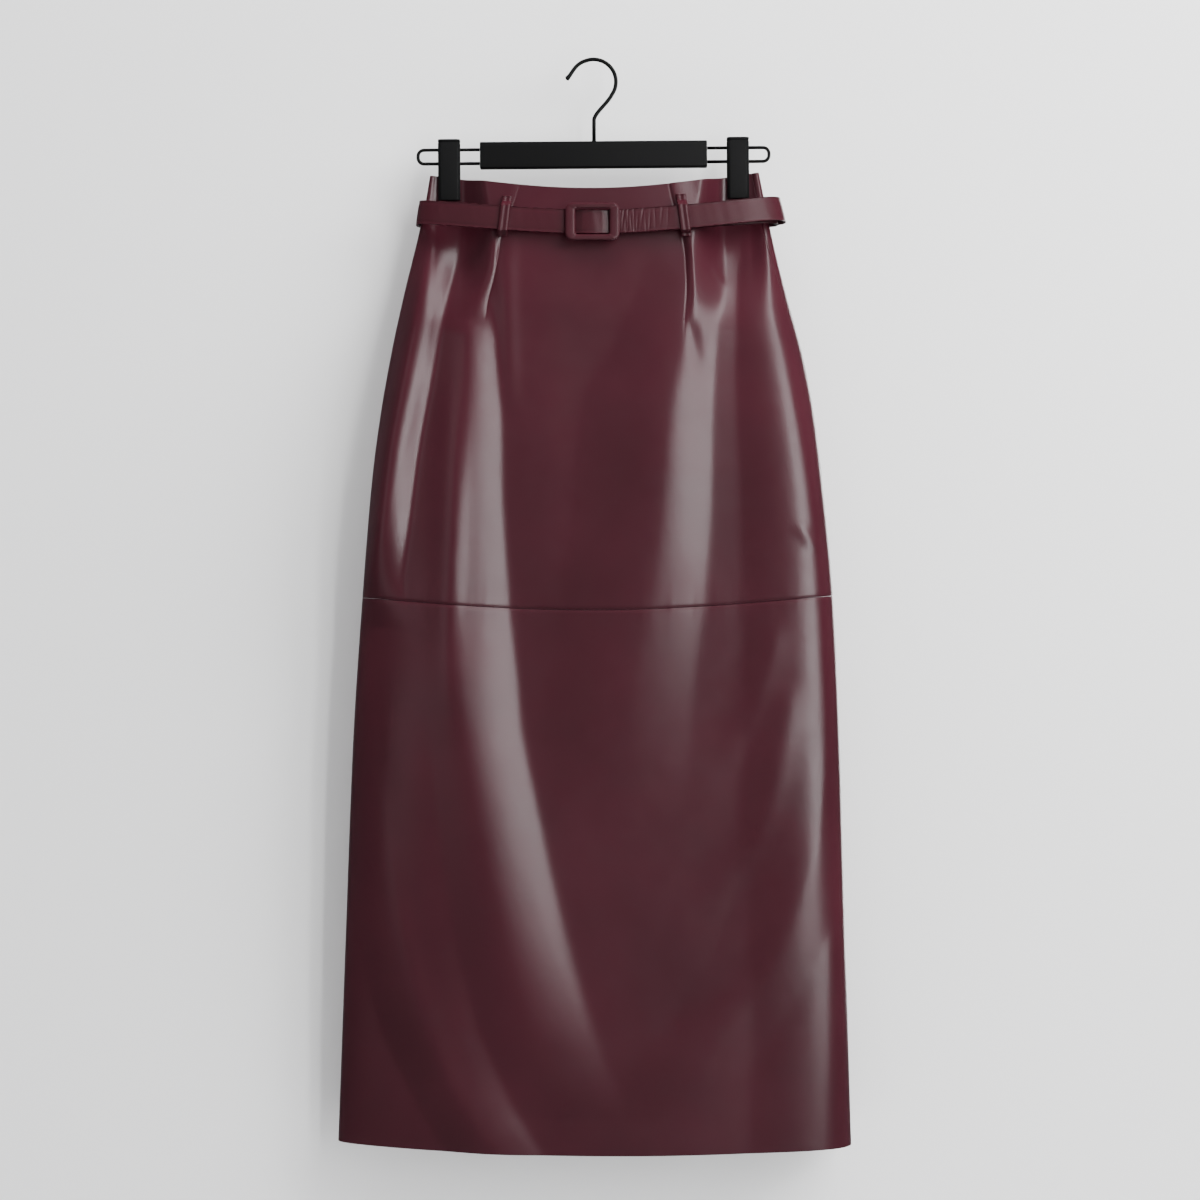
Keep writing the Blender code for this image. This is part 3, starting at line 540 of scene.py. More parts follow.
def level(down):
    """The skirt's outer face at one level, going round from the left side fold."""
    left, right, front, back, square = (read(SECTIONS, column, down) for column in SECTION_SHAPE)
    x, y = oval(left, right, front, back, square)
    along = distances(x, y)
    in_front = y < 0
    drawn = pinch(x, down)
    free = 1 - drawn**PINCH_POWER
    depth = np.abs(y)
    open_cloth = ease(depth / (FOLDS_FULL_DEPTH * np.where(in_front, front, back))) * free
    depth = np.where(depth > REST_DEPTH, REST_DEPTH + (depth - REST_DEPTH) * (1 - drawn), depth)
    front_shape = fold_height(FRONT_FOLDS, x, down) + fold_height(FRONT_CREASES, x, down, swell)
    front_shape = front_shape * open_cloth + tuck_height(x, down) * free
    back_shape = (fold_height(BACK_FOLDS, x, down) + fold_height(BACK_CREASES, x, down, swell)) * open_cloth
    puckered = seam_pucker(along, down) * (depth > REST_DEPTH + 1)
    depth = depth + np.where(in_front, front_shape, back_shape) + puckered
    y = depth * np.where(in_front, -1, 1)
    return Level(down, x, y, *outward_normals(x, y, 2), along)


def height_at(x, down):
    """The height of the skirt's surface at x, on the level `down`."""
    half = np.where(x < 0, read(SECTIONS, "left", down), read(SECTIONS, "right", down))
    across = np.clip(np.abs(x / half), 0, 1)
    sunk = read(SECTIONS, "dip", down) * (1 - across**2) ** DIP_POWER
    return WAIST_Z - down - sunk + read(SECTIONS, "tilt", down) / 2 * x / half


def points_at(ring, along, outward=0.0):
    """Points of a level at distances along it, moved outward by so much."""
    x = np.interp(along, ring.along, ring.x)
    y = np.interp(along, ring.along, ring.y)
    z = height_at(x, ring.down)
    x = x + outward * np.interp(along, ring.along, ring.normal_x)
    y = y + outward * np.interp(along, ring.along, ring.normal_y)
    return np.stack([x + SKIRT_X, y, z], axis=1)


def front_place(ring, x):
    """Where along a level the front crosses x."""
    front = slice(0, POINTS_ROUND // 2 + 1)
    return np.interp(x, ring.x[front], ring.along[front])


def back_place(ring, x):
    """Where along a level the back crosses x."""
    back = slice(POINTS_ROUND // 2, None)
    return np.interp(-x, -ring.x[back], ring.along[back])


def right_seam(ring):
    return ring.along[POINTS_ROUND // 2] - read(RIGHT_SEAM, "forward", ring.down)


def evenly(stops, counts):
    """Places between each stop and the next, so many steps in each stretch."""
    places = [stops[0]]
    for start, end, count in zip(stops, stops[1:], counts):
        places.extend(np.linspace(start, end, count + 1)[1:])
    return np.array(places)


# Making meshes


def finished(name, points, faces, material, replaced=()):
    """One smooth-shaded piece that rides on the frame's body."""
    name = f"{name}_look"
    mesh = bpy.data.meshes.new(name)
    mesh.from_pydata((np.asarray(points) * MM).tolist(), [], faces)
    shape = bmesh.new()
    shape.from_mesh(mesh)
    bmesh.ops.recalc_face_normals(shape, faces=shape.faces)
    shape.to_mesh(mesh)
    shape.free()
    mesh.shade_smooth()
    mesh.materials.append(material)
    piece = bpy.data.objects.new(name, mesh)
    bpy.context.scene.collection.objects.link(piece)
    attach(piece, BODY)
    if replaced:
        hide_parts(*replaced)
    return piece


def unit(vectors):
    return vectors / np.maximum(np.linalg.norm(vectors, axis=-1, keepdims=True), 1e-9)


def edge_profile(radius, corner):
    """Points over a sheet's edge from its outer to its inner face, as (along the normal, past the edge)."""
    turn = [(math.cos(a), math.sin(a)) for a in np.radians((0, 45, 90))]
    outer = [(radius - corner * (1 - n), radius - corner * (1 - e)) for n, e in turn]
    return outer + [(-n, e) for n, e in outer[::-1]]


def shell(name, grid, thickness, material, replaced=(), corner=None):
    """A sheet from the grid of its outer face. Its edges are rounded, or cut square with small corners."""
    grid = np.asarray(grid, float)
    rows, columns = grid.shape[:2]
    down_row, along_row = np.gradient(grid, axis=0), np.gradient(grid, axis=1)
    normal = unit(np.cross(along_row, down_row))
    outward = grid[:, :, :2] - grid[:, :, :2].mean(axis=(0, 1)) * (1, 0)
    if (normal[..., :2] * outward * (0, 1)).sum() < 0:
        normal = -normal
    edge = np.zeros_like(grid)
    edge[0] -= unit(down_row[0])
    edge[-1] += unit(down_row[-1])
    edge[:, 0] -= unit(along_row[:, 0])
    edge[:, -1] += unit(along_row[:, -1])
    edge = unit(edge)
    radius = thickness / 2
    middle = grid - normal * radius - edge * radius
    outer, inner = middle + normal * radius, middle - normal * radius
    points = [outer.reshape(-1, 3), inner.reshape(-1, 3)]
    count = rows * columns
    index = np.arange(count).reshape(rows, columns)
    rim = np.concatenate([index[0], index[1:, -1], index[-1, -2::-1], index[-2:0:-1, 0]])
    centre, outward_at, past_at = (values.reshape(-1, 3)[rim] for values in (middle, normal, edge))
    loops = [rim]
    if corner:
        profile = edge_profile(radius, corner)
    else:
        profile = [(radius * math.cos(a), radius * math.sin(a)) for a in np.radians((45, 90, 135))]
    for step, (out, past) in enumerate(profile):
        points.append(centre + out * outward_at + past * past_at)
        loops.append(2 * count + step * len(rim) + np.arange(len(rim)))
    loops.append(count + rim)
    quads = np.stack([index[:-1, :-1], index[:-1, 1:], index[1:, 1:], index[1:, :-1]], axis=-1).reshape(-1, 4)
    faces = [quads, quads[:, ::-1] + count]
    for here, after in zip(loops, loops[1:]):
        faces.append(np.stack([here, after, np.roll(after, -1), np.roll(here, -1)], axis=-1))
    return finished(name, np.concatenate(points), np.concatenate(faces).tolist(), material, replaced)


def tube_mesh(grid, closed_along):
    """Faces of a grid of rings. Open ends are capped."""
    rings, around = grid.shape[:2]
    index = np.arange(rings * around).reshape(rings, around)
    after = np.roll(index, -1, axis=0) if closed_along else index[1:]
    here = index if closed_along else index[:-1]
    quads = np.stack([here, np.roll(here, -1, axis=1), np.roll(after, -1, axis=1), after], axis=-1)
    faces = quads.reshape(-1, 4).tolist()
    if not closed_along:
        faces += [index[0].tolist(), index[-1].tolist()]
    return grid.reshape(-1, 3), faces


# Materials

LEATHER_SPREAD, LACQUER_SPREAD = 0.04, 0.06  # how far the roughness strays from its middle
TONE_SCALE, GLOSS_SCALE, CELL_SCALE, PORE_SCALE, WEAVE_SCALE = 9.0, 60.0, 950.0, 500.0, 900.0  # to the metre
LEATHER_GRAIN, FINE_GRAIN = 0.0003, 0.0002  # metres


def new_material(name, colour, roughness):
    made = bpy.data.materials.new(name)
    made.use_nodes = True
    made.diffuse_color = (*colour, 1)
    nodes = made.node_tree.nodes
    shader = nodes["Principled BSDF"]
    shader.inputs["Base Color"].default_value = (*colour, 1)
    shader.inputs["Roughness"].default_value = roughness
    return made, nodes, made.node_tree.links, shader


def textured(nodes, links, kind, scale, detail=2.0, **settings):
    """A texture in the object's own metres."""
    place = nodes.new("ShaderNodeTexCoord")
    texture = nodes.new(kind)
    texture.inputs["Scale"].default_value = scale
    if "Detail" in texture.inputs:
        texture.inputs["Detail"].default_value = detail
    for name, value in settings.items():
        setattr(texture, name, value)
    links.new(place.outputs["Object"], texture.inputs["Vector"])
    return texture


def between(nodes, links, source, low, high):
    """A value from 0 to 1 spread between low and high."""
    spread = nodes.new("ShaderNodeMapRange")
    spread.inputs["To Min"].default_value = low
    spread.inputs["To Max"].default_value = high
    links.new(source, spread.inputs["Value"])
    return spread.outputs["Result"]


def bumped(nodes, links, shader, height, strength, distance):
    """A raised grain, so many metres high at full strength."""
    bump = nodes.new("ShaderNodeBump")
    bump.inputs["Strength"].default_value = strength
    bump.inputs["Distance"].default_value = distance
    links.new(height, bump.inputs["Height"])
    links.new(bump.outputs["Normal"], shader.inputs["Normal"])


def leather(name, dark, light, roughness, grain_depth, specular):
    """Smooth finished leather: a fine pebbled grain, faint tone changes and slightly uneven gloss."""
    made, nodes, links, shader = new_material(name, light, roughness)
    tone = textured(nodes, links, "ShaderNodeTexNoise", TONE_SCALE)
    ramp = nodes.new("ShaderNodeValToRGB")
    for stop, place, colour in zip(ramp.color_ramp.elements, (0.3, 0.7), (dark, light)):
        stop.position = place
        stop.color = (*colour, 1)
    links.new(tone.outputs["Fac"], ramp.inputs["Fac"])
    links.new(ramp.outputs["Color"], shader.inputs["Base Color"])
    gloss = textured(nodes, links, "ShaderNodeTexNoise", GLOSS_SCALE)
    stray = roughness - LEATHER_SPREAD, roughness + LEATHER_SPREAD
    links.new(between(nodes, links, gloss.outputs["Fac"], *stray), shader.inputs["Roughness"])
    cells = textured(nodes, links, "ShaderNodeTexVoronoi", CELL_SCALE, feature="F1")
    pores = textured(nodes, links, "ShaderNodeTexNoise", PORE_SCALE)
    mixed = nodes.new("ShaderNodeMath")
    mixed.operation = "ADD"
    links.new(cells.outputs["Distance"], mixed.inputs[0])
    links.new(pores.outputs["Fac"], mixed.inputs[1])
    bumped(nodes, links, shader, mixed.outputs["Value"], grain_depth, LEATHER_GRAIN)
    shader.inputs["Specular IOR Level"].default_value = specular
    return made


def lacquer(name, colour, roughness, grain_scale, grain_depth):
    made, nodes, links, shader = new_material(name, colour, roughness)
    shader.inputs["Specular IOR Level"].default_value = 0.15
    grain = textured(nodes, links, "ShaderNodeTexNoise", grain_scale, 3.0)
    stray = roughness - LACQUER_SPREAD, roughness + LACQUER_SPREAD
    links.new(between(nodes, links, grain.outputs["Fac"], *stray), shader.inputs["Roughness"])
    bumped(nodes, links, shader, grain.outputs["Fac"], grain_depth, FINE_GRAIN)
    return made


def tape_cloth(name):
    """Woven zip tape."""
    made, nodes, links, shader = new_material(name, (0.03, 0.008, 0.012), 0.85)
    weave = textured(nodes, links, "ShaderNodeTexWave", WEAVE_SCALE)
    bumped(nodes, links, shader, weave.outputs["Fac"], 0.5, FINE_GRAIN)
    return made


def stage_paint(name, colour):
    """Matt paint that is only there from its front, so that the object can be seen from every side."""
    made, nodes, links, shader = new_material(name, colour, 0.9)
    shader.inputs["Specular IOR Level"].default_value = 0.1
    side = nodes.new("ShaderNodeNewGeometry")
    clear = nodes.new("ShaderNodeBsdfTransparent")
    mix = nodes.new("ShaderNodeMixShader")
    links.new(side.outputs["Backfacing"], mix.inputs["Fac"])
    links.new(shader.outputs["BSDF"], mix.inputs[1])
    links.new(clear.outputs["BSDF"], mix.inputs[2])
    links.new(mix.outputs["Shader"], nodes["Material Output"].inputs["Surface"])
    return made


PANEL_LEATHER = leather("panel_leather", (0.031, 0.0054, 0.0096), (0.039, 0.0068, 0.0120), 0.30, 0.06, 0.55)
BELT_LEATHER = leather("belt_leather", (0.029, 0.0049, 0.0086), (0.036, 0.0061, 0.0106), 0.40, 0.12, 0.35)
BLACK_LACQUER = lacquer("black_lacquer", (0.004, 0.004, 0.0042), 0.50, 700.0, 0.15)
BLACK_WIRE = lacquer("black_wire", (0.004, 0.004, 0.004), 0.36, 900.0, 0.08)
ZIP_TAPE = tape_cloth("zip_tape")


# Panels

ROW_STEP, COLUMN_STEP = 2.6, 2.6
CUT_CORNER = 0.2
FINER, FINER_STRETCHES = 4, (1, 3)  # how much finer the columns are, in the stretches beside the tucks
TUCK_STRETCHES = (("left", (-16, 3)), ("right", (-3, 12)))


def rows_between(top, bottom, fine_ends=3.0):
    """Levels about ROW_STEP apart, closer over the last few millimetres at each end."""
    stops = (top, top + fine_ends, bottom - fine_ends, bottom)
    counts = (4, round((bottom - top - 2 * fine_ends) / ROW_STEP), 4)
    return [level(down) for down in evenly(stops, counts)]


def columns_for(first_ring_stops, last_ring_stops):
    """Steps in each stretch between stops, from the longest that it gets."""
    longest = np.maximum(np.diff(first_ring_stops), np.diff(last_ring_stops))
    return [max(2, math.ceil(length / COLUMN_STEP)) for length in longest]


def panel(name, rings, stops_of, finer=()):
    """A panel through its levels. The stretches in `finer` get FINER times the columns."""
    counts = columns_for(stops_of(rings[0]), stops_of(rings[-1]))
    counts = [count * FINER if i in finer else count for i, count in enumerate(counts)]
    grid = [points_at(ring, evenly(stops_of(ring), counts)) for ring in rings]
    return shell(name, grid, WALL, PANEL_LEATHER, (name,), corner=CUT_CORNER)


def front_upper_stops(ring):
    stops = [GAP / 2]
    for name, sides in TUCK_STRETCHES:
        line = float(read(TUCKS[name], "line", ring.down))
        stops += [front_place(ring, line + offset) for offset in sides]
    return [*stops, right_seam(ring) - GAP / 2]


def front_lower_stops(ring):
    return [GAP / 2, right_seam(ring) - GAP / 2]


def back_right_stops(ring):
    return [right_seam(ring) + GAP / 2, back_place(ring, 0) - GAP / 2]


def back_left_stops(ring):
    return [back_place(ring, 0) + GAP / 2, ring.along[-1] - GAP / 2]


def back_lower_stops(ring):
    return [right_seam(ring) + GAP / 2, ring.along[-1] - GAP / 2]


def every_other(rings):
    """Half of the levels, with the last one kept."""
    return rings[::2] if len(rings) % 2 else [*rings[::2], rings[-1]]


def make_panels():
    """Each panel of the skirt, by name."""
    upper = rows_between(0.0, SEAM_DOWN - GAP / 2)
    lower = rows_between(SEAM_DOWN + GAP / 2, HEM_DOWN)
    back_upper, back_lower = every_other(upper), every_other(lower)
    return {
        "front_upper": panel("front_upper", upper, front_upper_stops, FINER_STRETCHES),
        "front_lower": panel("front_lower", lower, front_lower_stops),
        "back_upper_left": panel("back_upper_left", back_upper, back_left_stops),
        "back_upper_right": panel("back_upper_right", back_upper, back_right_stops),
        "back_lower": panel("back_lower", back_lower, back_lower_stops),
    }


# The belt


def belt_ring():
    """The strap's oval in plan, from the middle of the front to the right, with its normals."""
    x, y = oval(*BELT_OVAL)
    start = POINTS_ROUND // 4
    x, y = np.roll(x, -start), np.roll(y, -start)
    along = distances(x, y)
    round_length = along[-1] + math.hypot(x[0] - x[-1], y[0] - y[-1])
    return x, y, *outward_normals(x, y, 1), along, round_length


def belt_height(x, y):
    """The height of the strap's middle: it sags between its ends in front, and runs level behind."""
    end_z = np.where(x < 0, BELT_LEFT_Z, BELT_RIGHT_Z)
    half = np.where(x < 0, BELT_OVAL.left, BELT_OVAL.right)
    sag = np.clip(np.abs(x / half), 0, 1) ** BELT_SAG_POWER
    in_front = BELT_MIDDLE_Z + (end_z - BELT_MIDDLE_Z) * sag
    across = (x + BELT_OVAL.left) / (BELT_OVAL.left + BELT_OVAL.right)
    behind = BELT_LEFT_Z + (BELT_RIGHT_Z - BELT_LEFT_Z) * across
    return in_front + (behind - in_front) * ease((y + SIDE_TURN / 2) / SIDE_TURN)


def strap_relief(past_buckle, across):
    """The strap's own surface over its flat form: a soft crown, the line of its edge, and its wrinkles."""
    edge = STRAP_WIDTH / 2 * (1 - np.abs(across))
    relief = STRAP_CROWN * (1 - across**2) - EDGE_DIP * np.exp(-(((edge - EDGE_LINE) / EDGE_LINE_WIDTH) ** 2))
    relief = relief + STRAP_UNEVEN * waves(past_buckle + 3 * across, 11.0, 17.0, 31.0)
    for wrinkle in STRAP_WRINKLES:
        offset = past_buckle - wrinkle.along - wrinkle.slant * across * 2
        uneven = 0.6 + 0.4 * np.cos(3 * across + wrinkle.along)
        relief = relief - wrinkle.depth * uneven * np.exp(-((offset / wrinkle.width) ** 2))
    return relief


def make_strap():
    """One strap from the end sewn round the buckle's bar, once round the waist, through the buckle and on to
    the free end, which lies on the first layer and turns the right side again."""
    ring_x, ring_y, normal_x, normal_y, ring_along, round_length = belt_ring()
    near_buckle = (round_length - BUCKLE_WIDTH * 0.7, round_length + WRINKLED_END)
    stops = (FIXED_END, *near_buckle, round_length + TAIL_LENGTH)
    along = evenly(stops, [round((b - a) / step) for a, b, step in zip(stops, stops[1:], STRAP_STEPS)])
    place = np.mod(along, round_length)
    x, y = np.interp(place, ring_along, ring_x), np.interp(place, ring_along, ring_y)
    out_x, out_y = np.interp(place, ring_along, normal_x), np.interp(place, ring_along, normal_y)
    past_buckle = along - round_length - (BUCKLE_X - SKIRT_X)
    lift = np.where(along > round_length / 2, read(FREE_END_LIFT, "lift", past_buckle), 0)
    side_turn = np.abs(out_x)
    lean = LEAN_FRONT + side_turn * (np.where(x < 0, LEAN_LEFT, LEAN_RIGHT) - LEAN_FRONT)
    drop = ease((along - UNDER_START) / UNDER_EASE) * ease((UNDER_END - along) / UNDER_END_EASE)
    z = belt_height(x, y) - UNDER_LAYER_DROP * drop * (along < round_length / 2)
    across = np.concatenate([STRAP_HALF_ACROSS, -np.flip(STRAP_HALF_ACROSS)])
    rows = []
    for up in across:
        out = lift + STRAP_THICK / 2 - up * lean / 2 + strap_relief(past_buckle, up * np.ones_like(along))
        rows.append(np.stack([x + out * out_x + SKIRT_X, y + out * out_y, z + up * STRAP_WIDTH / 2], axis=1))
    return shell("belt_strap", rows, STRAP_THICK, BELT_LEATHER, ("belt_strap",))


def rounded_rectangle(width, height, corner, per_corner, per_side=6):
    """Points round a rectangle with arcs for corners, as (across, up)."""
    corners = []
    for quarter, (sign_x, sign_z) in enumerate(((1, 1), (-1, 1), (-1, -1), (1, -1))):
        centre = sign_x * (width / 2 - corner), sign_z * (height / 2 - corner)
        corners.append(arc(*centre, corner, 90 * quarter, 90 * (quarter + 1), per_corner + 1))
    points = []
    for here, after in zip(corners, corners[1:] + corners[:1]):
        side = np.linspace(here[-1], after[0], per_side + 1)[1:-1]
        points += [*here, *map(tuple, side)]
    return points


def make_buckle():
    """The covered frame, rounded all round its section, with the leather drawn in slightly unevenly."""
    outer = np.array(rounded_rectangle(BUCKLE_WIDTH, BUCKLE_HEIGHT, BUCKLE_CORNER, 12))
    window = np.array(rounded_rectangle(WINDOW_WIDTH, WINDOW_HEIGHT, WINDOW_CORNER, 12))
    centre_z = float(belt_height(np.array(BUCKLE_X - SKIRT_X), np.array(BUCKLE_BACK_Y)))
    uneven = 1 + COVER_UNEVEN * waves(np.arange(len(outer)), 7.0, 19.0)
    grid = []
    for angle in np.linspace(0, 2 * math.pi, BUCKLE_SECTION, endpoint=False):
        across = 0.5 + 0.5 * math.copysign(abs(math.cos(angle)) ** BUCKLE_SQUARENESS, math.cos(angle))
        out = 0.5 + 0.5 * math.copysign(abs(math.sin(angle)) ** BUCKLE_SQUARENESS, math.sin(angle))
        flat = window + (outer - window) * across
        y = BUCKLE_BACK_Y - BUCKLE_THICK * out * np.where(out > 0.5, uneven, 1)
        grid.append(np.stack([BUCKLE_X + flat[:, 0], y, centre_z + flat[:, 1]], axis=1))
    points, faces = tube_mesh(np.array(grid), True)
    finished("buckle_frame", points, faces, BELT_LEATHER, ("buckle_frame",))
    reach = WINDOW_HEIGHT / 2 - GAP
    ends = [(BUCKLE_X, centre_z - reach), (BUCKLE_X, centre_z + reach)]
    make_wire("buckle_bar", ends, BAR_RADIUS, BAR_Y)


def surface_y(x, z, side):
    """How far out the skirt's face lies at a place, on the front (side -1) or the back (1)."""
    down = WAIST_Z - z
    for _ in range(4):
        down = down + float(height_at(np.array(x), down)) - z
    ring = level(max(down, 0))
    place = front_place(ring, x) if side < 0 else back_place(ring, x)
    return float(np.interp(place, ring.along, ring.y))


def make_belt_loop(spec):
    """A folded strip sewn to the skirt at its top and foot, which stands off to let the strap through. Its
    edge stitching leaves a soft ridge along each side, and its ends are turned under."""
    t = np.linspace(0, 1, LOOP_LEVELS)
    x = spec.top_x + (spec.foot_x - spec.top_x) * t - SKIRT_X
    z = spec.top_z + (spec.foot_z - spec.top_z) * t
    ring_x, ring_y, *_ = belt_ring()
    on_side = ring_y * spec.side > 0
    order = np.argsort(ring_x[on_side])
    strap_y = np.interp(x, ring_x[on_side][order], ring_y[on_side][order])
    layers_depth = STRAP_THICK / 2 + GAP + (spec.layers - 1) * float(read(FREE_END_LIFT, "lift", LOOP_PLACE))
    over_strap = strap_y + spec.side * (layers_depth + LEAN_FRONT)
    across = np.linspace(-LOOP_WIDTH / 2, LOOP_WIDTH / 2, 7)
    cloth = np.array([[surface_y(cx + dx, cz, spec.side) for cx, cz in zip(x, z)] for dx in across])
    on_cloth = (np.max(cloth * spec.side, axis=0) + LOOP_CLEAR) * spec.side
    clear = STRAP_WIDTH / 2 + LOOP_OVER_STRAP
    lifted = 1 - ease((np.abs(z - belt_height(x, strap_y)) - clear) / LOOP_TURN)
    y = on_cloth + (over_strap - on_cloth) * lifted + spec.side * LOOP_THICK
    fine = np.linspace(0, 1, LOOP_ROWS)
    fine_x, fine_y, fine_z = (through(t, values, fine) for values in (x, y, z))
    rows = []
    for i in range(len(fine)):
        columns = []
        turned = FOOT_TURN * math.exp(-(((1 - fine[i]) / TURN_REACH) ** 2))
        turned += TOP_TURN * math.exp(-((fine[i] / TURN_REACH) ** 2))
        for dx in np.linspace(-LOOP_WIDTH / 2, LOOP_WIDTH / 2, LOOP_COLUMNS):
            raised = LOOP_RIDGE * math.exp(-(((abs(dx) - LOOP_RIDGE_AT) / LOOP_RIDGE_WIDTH) ** 2))
            columns.append((fine_x[i] + SKIRT_X + dx, fine_y[i] + spec.side * (raised + turned), fine_z[i]))
        rows.append(columns)
    return shell(spec.name, rows, LOOP_THICK, BELT_LEATHER, (spec.name,))


# The zip


def make_zip():
    """The concealed zip of the centre back: tape and coil inside the slit, the pull outside at the top."""

    def across(ring, width, count):
        return back_place(ring, 0) + np.linspace(-width / 2, width / 2, count)

    inside = -WALL - GAP
    rings = [level(down) for down in np.linspace(PULL_TOP, ZIP_LENGTH, ZIP_ROWS)]
    tape = [points_at(ring, across(ring, TAPE_WIDTH, TAPE_COLUMNS), inside) for ring in rings]
    shell("zip_tape", tape, TAPE_THICK, ZIP_TAPE, ("zip_tape",))
    coil_middle = inside - TAPE_THICK - COIL_CLEAR - COIL_RADIUS
    middle = np.array([points_at(ring, across(ring, 0, 1), coil_middle)[0] for ring in rings])
    length = middle[0, 2] - middle[-1, 2]
    turns = length / COIL_PITCH
    t = np.linspace(0, 1, int(turns * COIL_STEPS))
    centre = np.stack([np.interp(t, np.linspace(0, 1, len(middle)), middle[:, k]) for k in range(3)], axis=1)
    angle = 2 * math.pi * turns * t
    path = centre + COIL_RADIUS * np.stack([np.cos(angle), np.sin(angle), 0 * angle], axis=1)
    tube("zip_coil", path, COIL_WIRE, 6, ZIP_TAPE)
    pull_levels = [level(down) for down in np.linspace(PULL_TOP, PULL_BOTTOM, PULL_ROWS)]
    pull = []
    for i, ring in enumerate(pull_levels):
        t = i / (len(pull_levels) - 1)
        widening = PULL_NECK + (1 - PULL_NECK) * float(ease(t * PULL_WIDENS))
        rounding = math.sqrt(max(1 - max(t - PULL_ROUND_FROM, 0) ** 2 * PULL_ROUNDNESS, PULL_LEAST))
        columns = across(ring, PULL_WIDTH * widening * rounding, PULL_COLUMNS)
        pull.append(points_at(ring, columns, GAP + PULL_THICK))
    shell("zip_pull", pull, PULL_THICK, BLACK_WIRE, ("zip_pull",))


# The hanger


def tube(name, path, radius, sides, material, replaced=(), ball_start=False, turn_points=None):
    """A round wire along points. A ball start flares its first end and closes it with a half sphere."""
    path = np.asarray(path, float)
    ahead = unit(np.gradient(path, axis=0))
    across = unit(np.cross(ahead, (0.0, 1.0, 0.0)) + 1e-9)
    upward = unit(np.cross(ahead, across))
    radii = np.full(len(path), radius)
    if ball_start:
        from_tip = np.concatenate([[0], np.cumsum(np.linalg.norm(np.diff(path, axis=0), axis=1))])
        radii = radius * (1 + TIP_FLARE * np.exp(-((from_tip / TIP_FLARE_REACH) ** 2)))
        radius = radii[0]
        angles = np.radians(np.linspace(4, 80, 8))
        cap = path[0] + ahead[0] * (radius * (1 - np.cos(angles)))[:, None]
        path = np.concatenate([cap, path[1:]])
        across = np.concatenate([np.repeat(across[:1], len(cap), 0), across[1:]])
        upward = np.concatenate([np.repeat(upward[:1], len(cap), 0), upward[1:]])
        radii = np.concatenate([radius * np.sin(angles), radii[1:]])
    angle = 2 * math.pi * np.arange(sides) / sides
    ring = np.cos(angle)[None, :, None] * across[:, None] + np.sin(angle)[None, :, None] * upward[:, None]
    points, faces = tube_mesh(path[:, None] + ring * radii[:, None, None], False)
    if turn_points:
        points = turn_points(points)
    return finished(name, points, faces, material, replaced)


def tilted(points):
    """The bar, its wires and its clips hang a little out of level."""
    points = np.array(points, float)
    x, z = points[:, 0], points[:, 2] - BAR_Z
    cos, sin = math.cos(HANGER_TILT), math.sin(HANGER_TILT)
    return np.stack([x * cos + z * sin, points[:, 1], BAR_Z - x * sin + z * cos], axis=1)


def make_wire(name, flat_path, radius, y=0.0, tilt=False, ball_start=False):
    path = np.array([(x, y, z) for x, z in flat_path], float)
    if len(path) == 2:
        path = path[0] + (path[1] - path[0]) * np.linspace(0, 1, 12)[:, None]
    turn_points = tilted if tilt else None
    return tube(name, path, radius, WIRE_SIDES, BLACK_WIRE, (name,), ball_start, turn_points)


def arc(centre_x, centre_z, radius, start, end, count):
    """Points of an arc in the plane of the hanger, from one angle to another in degrees."""
    angles = np.radians(np.linspace(start, end, count))
    return [(centre_x + radius * math.cos(a), centre_z + radius * math.sin(a)) for a in angles]


def bend(start, pull_start, pull_end, end, count):
    """Points of a soft bend in the plane of the hanger, steered by two pulls."""
    t = np.linspace(0, 1, count)[:, None]
    start, pull_start, pull_end, end = (np.array(p, float) for p in (start, pull_start, pull_end, end))
    curve = (1 - t) ** 3 * start + 3 * t * (1 - t) ** 2 * pull_start
    return [tuple(p) for p in curve + 3 * t * t * (1 - t) * pull_end + t**3 * end]


def swept(name, outline, stations, centre, axis, material):
    """A solid with a rounded outline, swept through stations of (place, inset) along the X or Z axis."""
    outline = np.array(outline, float)
    middle = outline.mean(axis=0)
    grid = []
    for place, inset in stations:
        size = np.abs(outline - middle).max(axis=0)
        ring = middle + (outline - middle) * (1 - inset / size)
        across = np.full(len(ring), place)
        columns = [across, ring[:, 0], ring[:, 1]] if axis == "x" else [ring[:, 0], ring[:, 1], across]
        grid.append(np.stack(columns, axis=1) + centre)
    points, faces = tube_mesh(np.array(grid), False)
    return finished(name, tilted(points), faces, material, (name,))


def rounded_stations(low, high, radius, steps=6):
    """Places from low to high whose inset gives quarter round ends."""
    angles = np.radians(np.linspace(0, 90, steps + 1))
    start = [(low + radius * (1 - math.cos(a)), radius * (1 - math.sin(a))) for a in angles]
    end = [(high - radius * (1 - math.cos(a)), radius * (1 - math.sin(a))) for a in angles[::-1]]
    return start + end


def soft_corners(outline, radius, steps=4):
    """The outline with each corner rounded."""
    outline = np.array(outline, float)
    points = []
    for i, corner in enumerate(outline):
        before, after = outline[i - 1], outline[(i + 1) % len(outline)]
        start = corner + (before - corner) / np.linalg.norm(before - corner) * radius
        end = corner + (after - corner) / np.linalg.norm(after - corner) * radius
        for t in np.linspace(0, 1, steps + 1):
            points.append((1 - t) ** 2 * start + 2 * t * (1 - t) * corner + t * t * end)
    return points


def make_bar():
    outline = rounded_rectangle(BAR_DEPTH, BAR_HEIGHT, BAR_CORNER, 6)
    stations = rounded_stations(-BAR_LENGTH / 2, BAR_LENGTH / 2, BAR_END)
    swept("hanger_bar", outline, stations, (0, 0, BAR_Z), "x", BLACK_LACQUER)


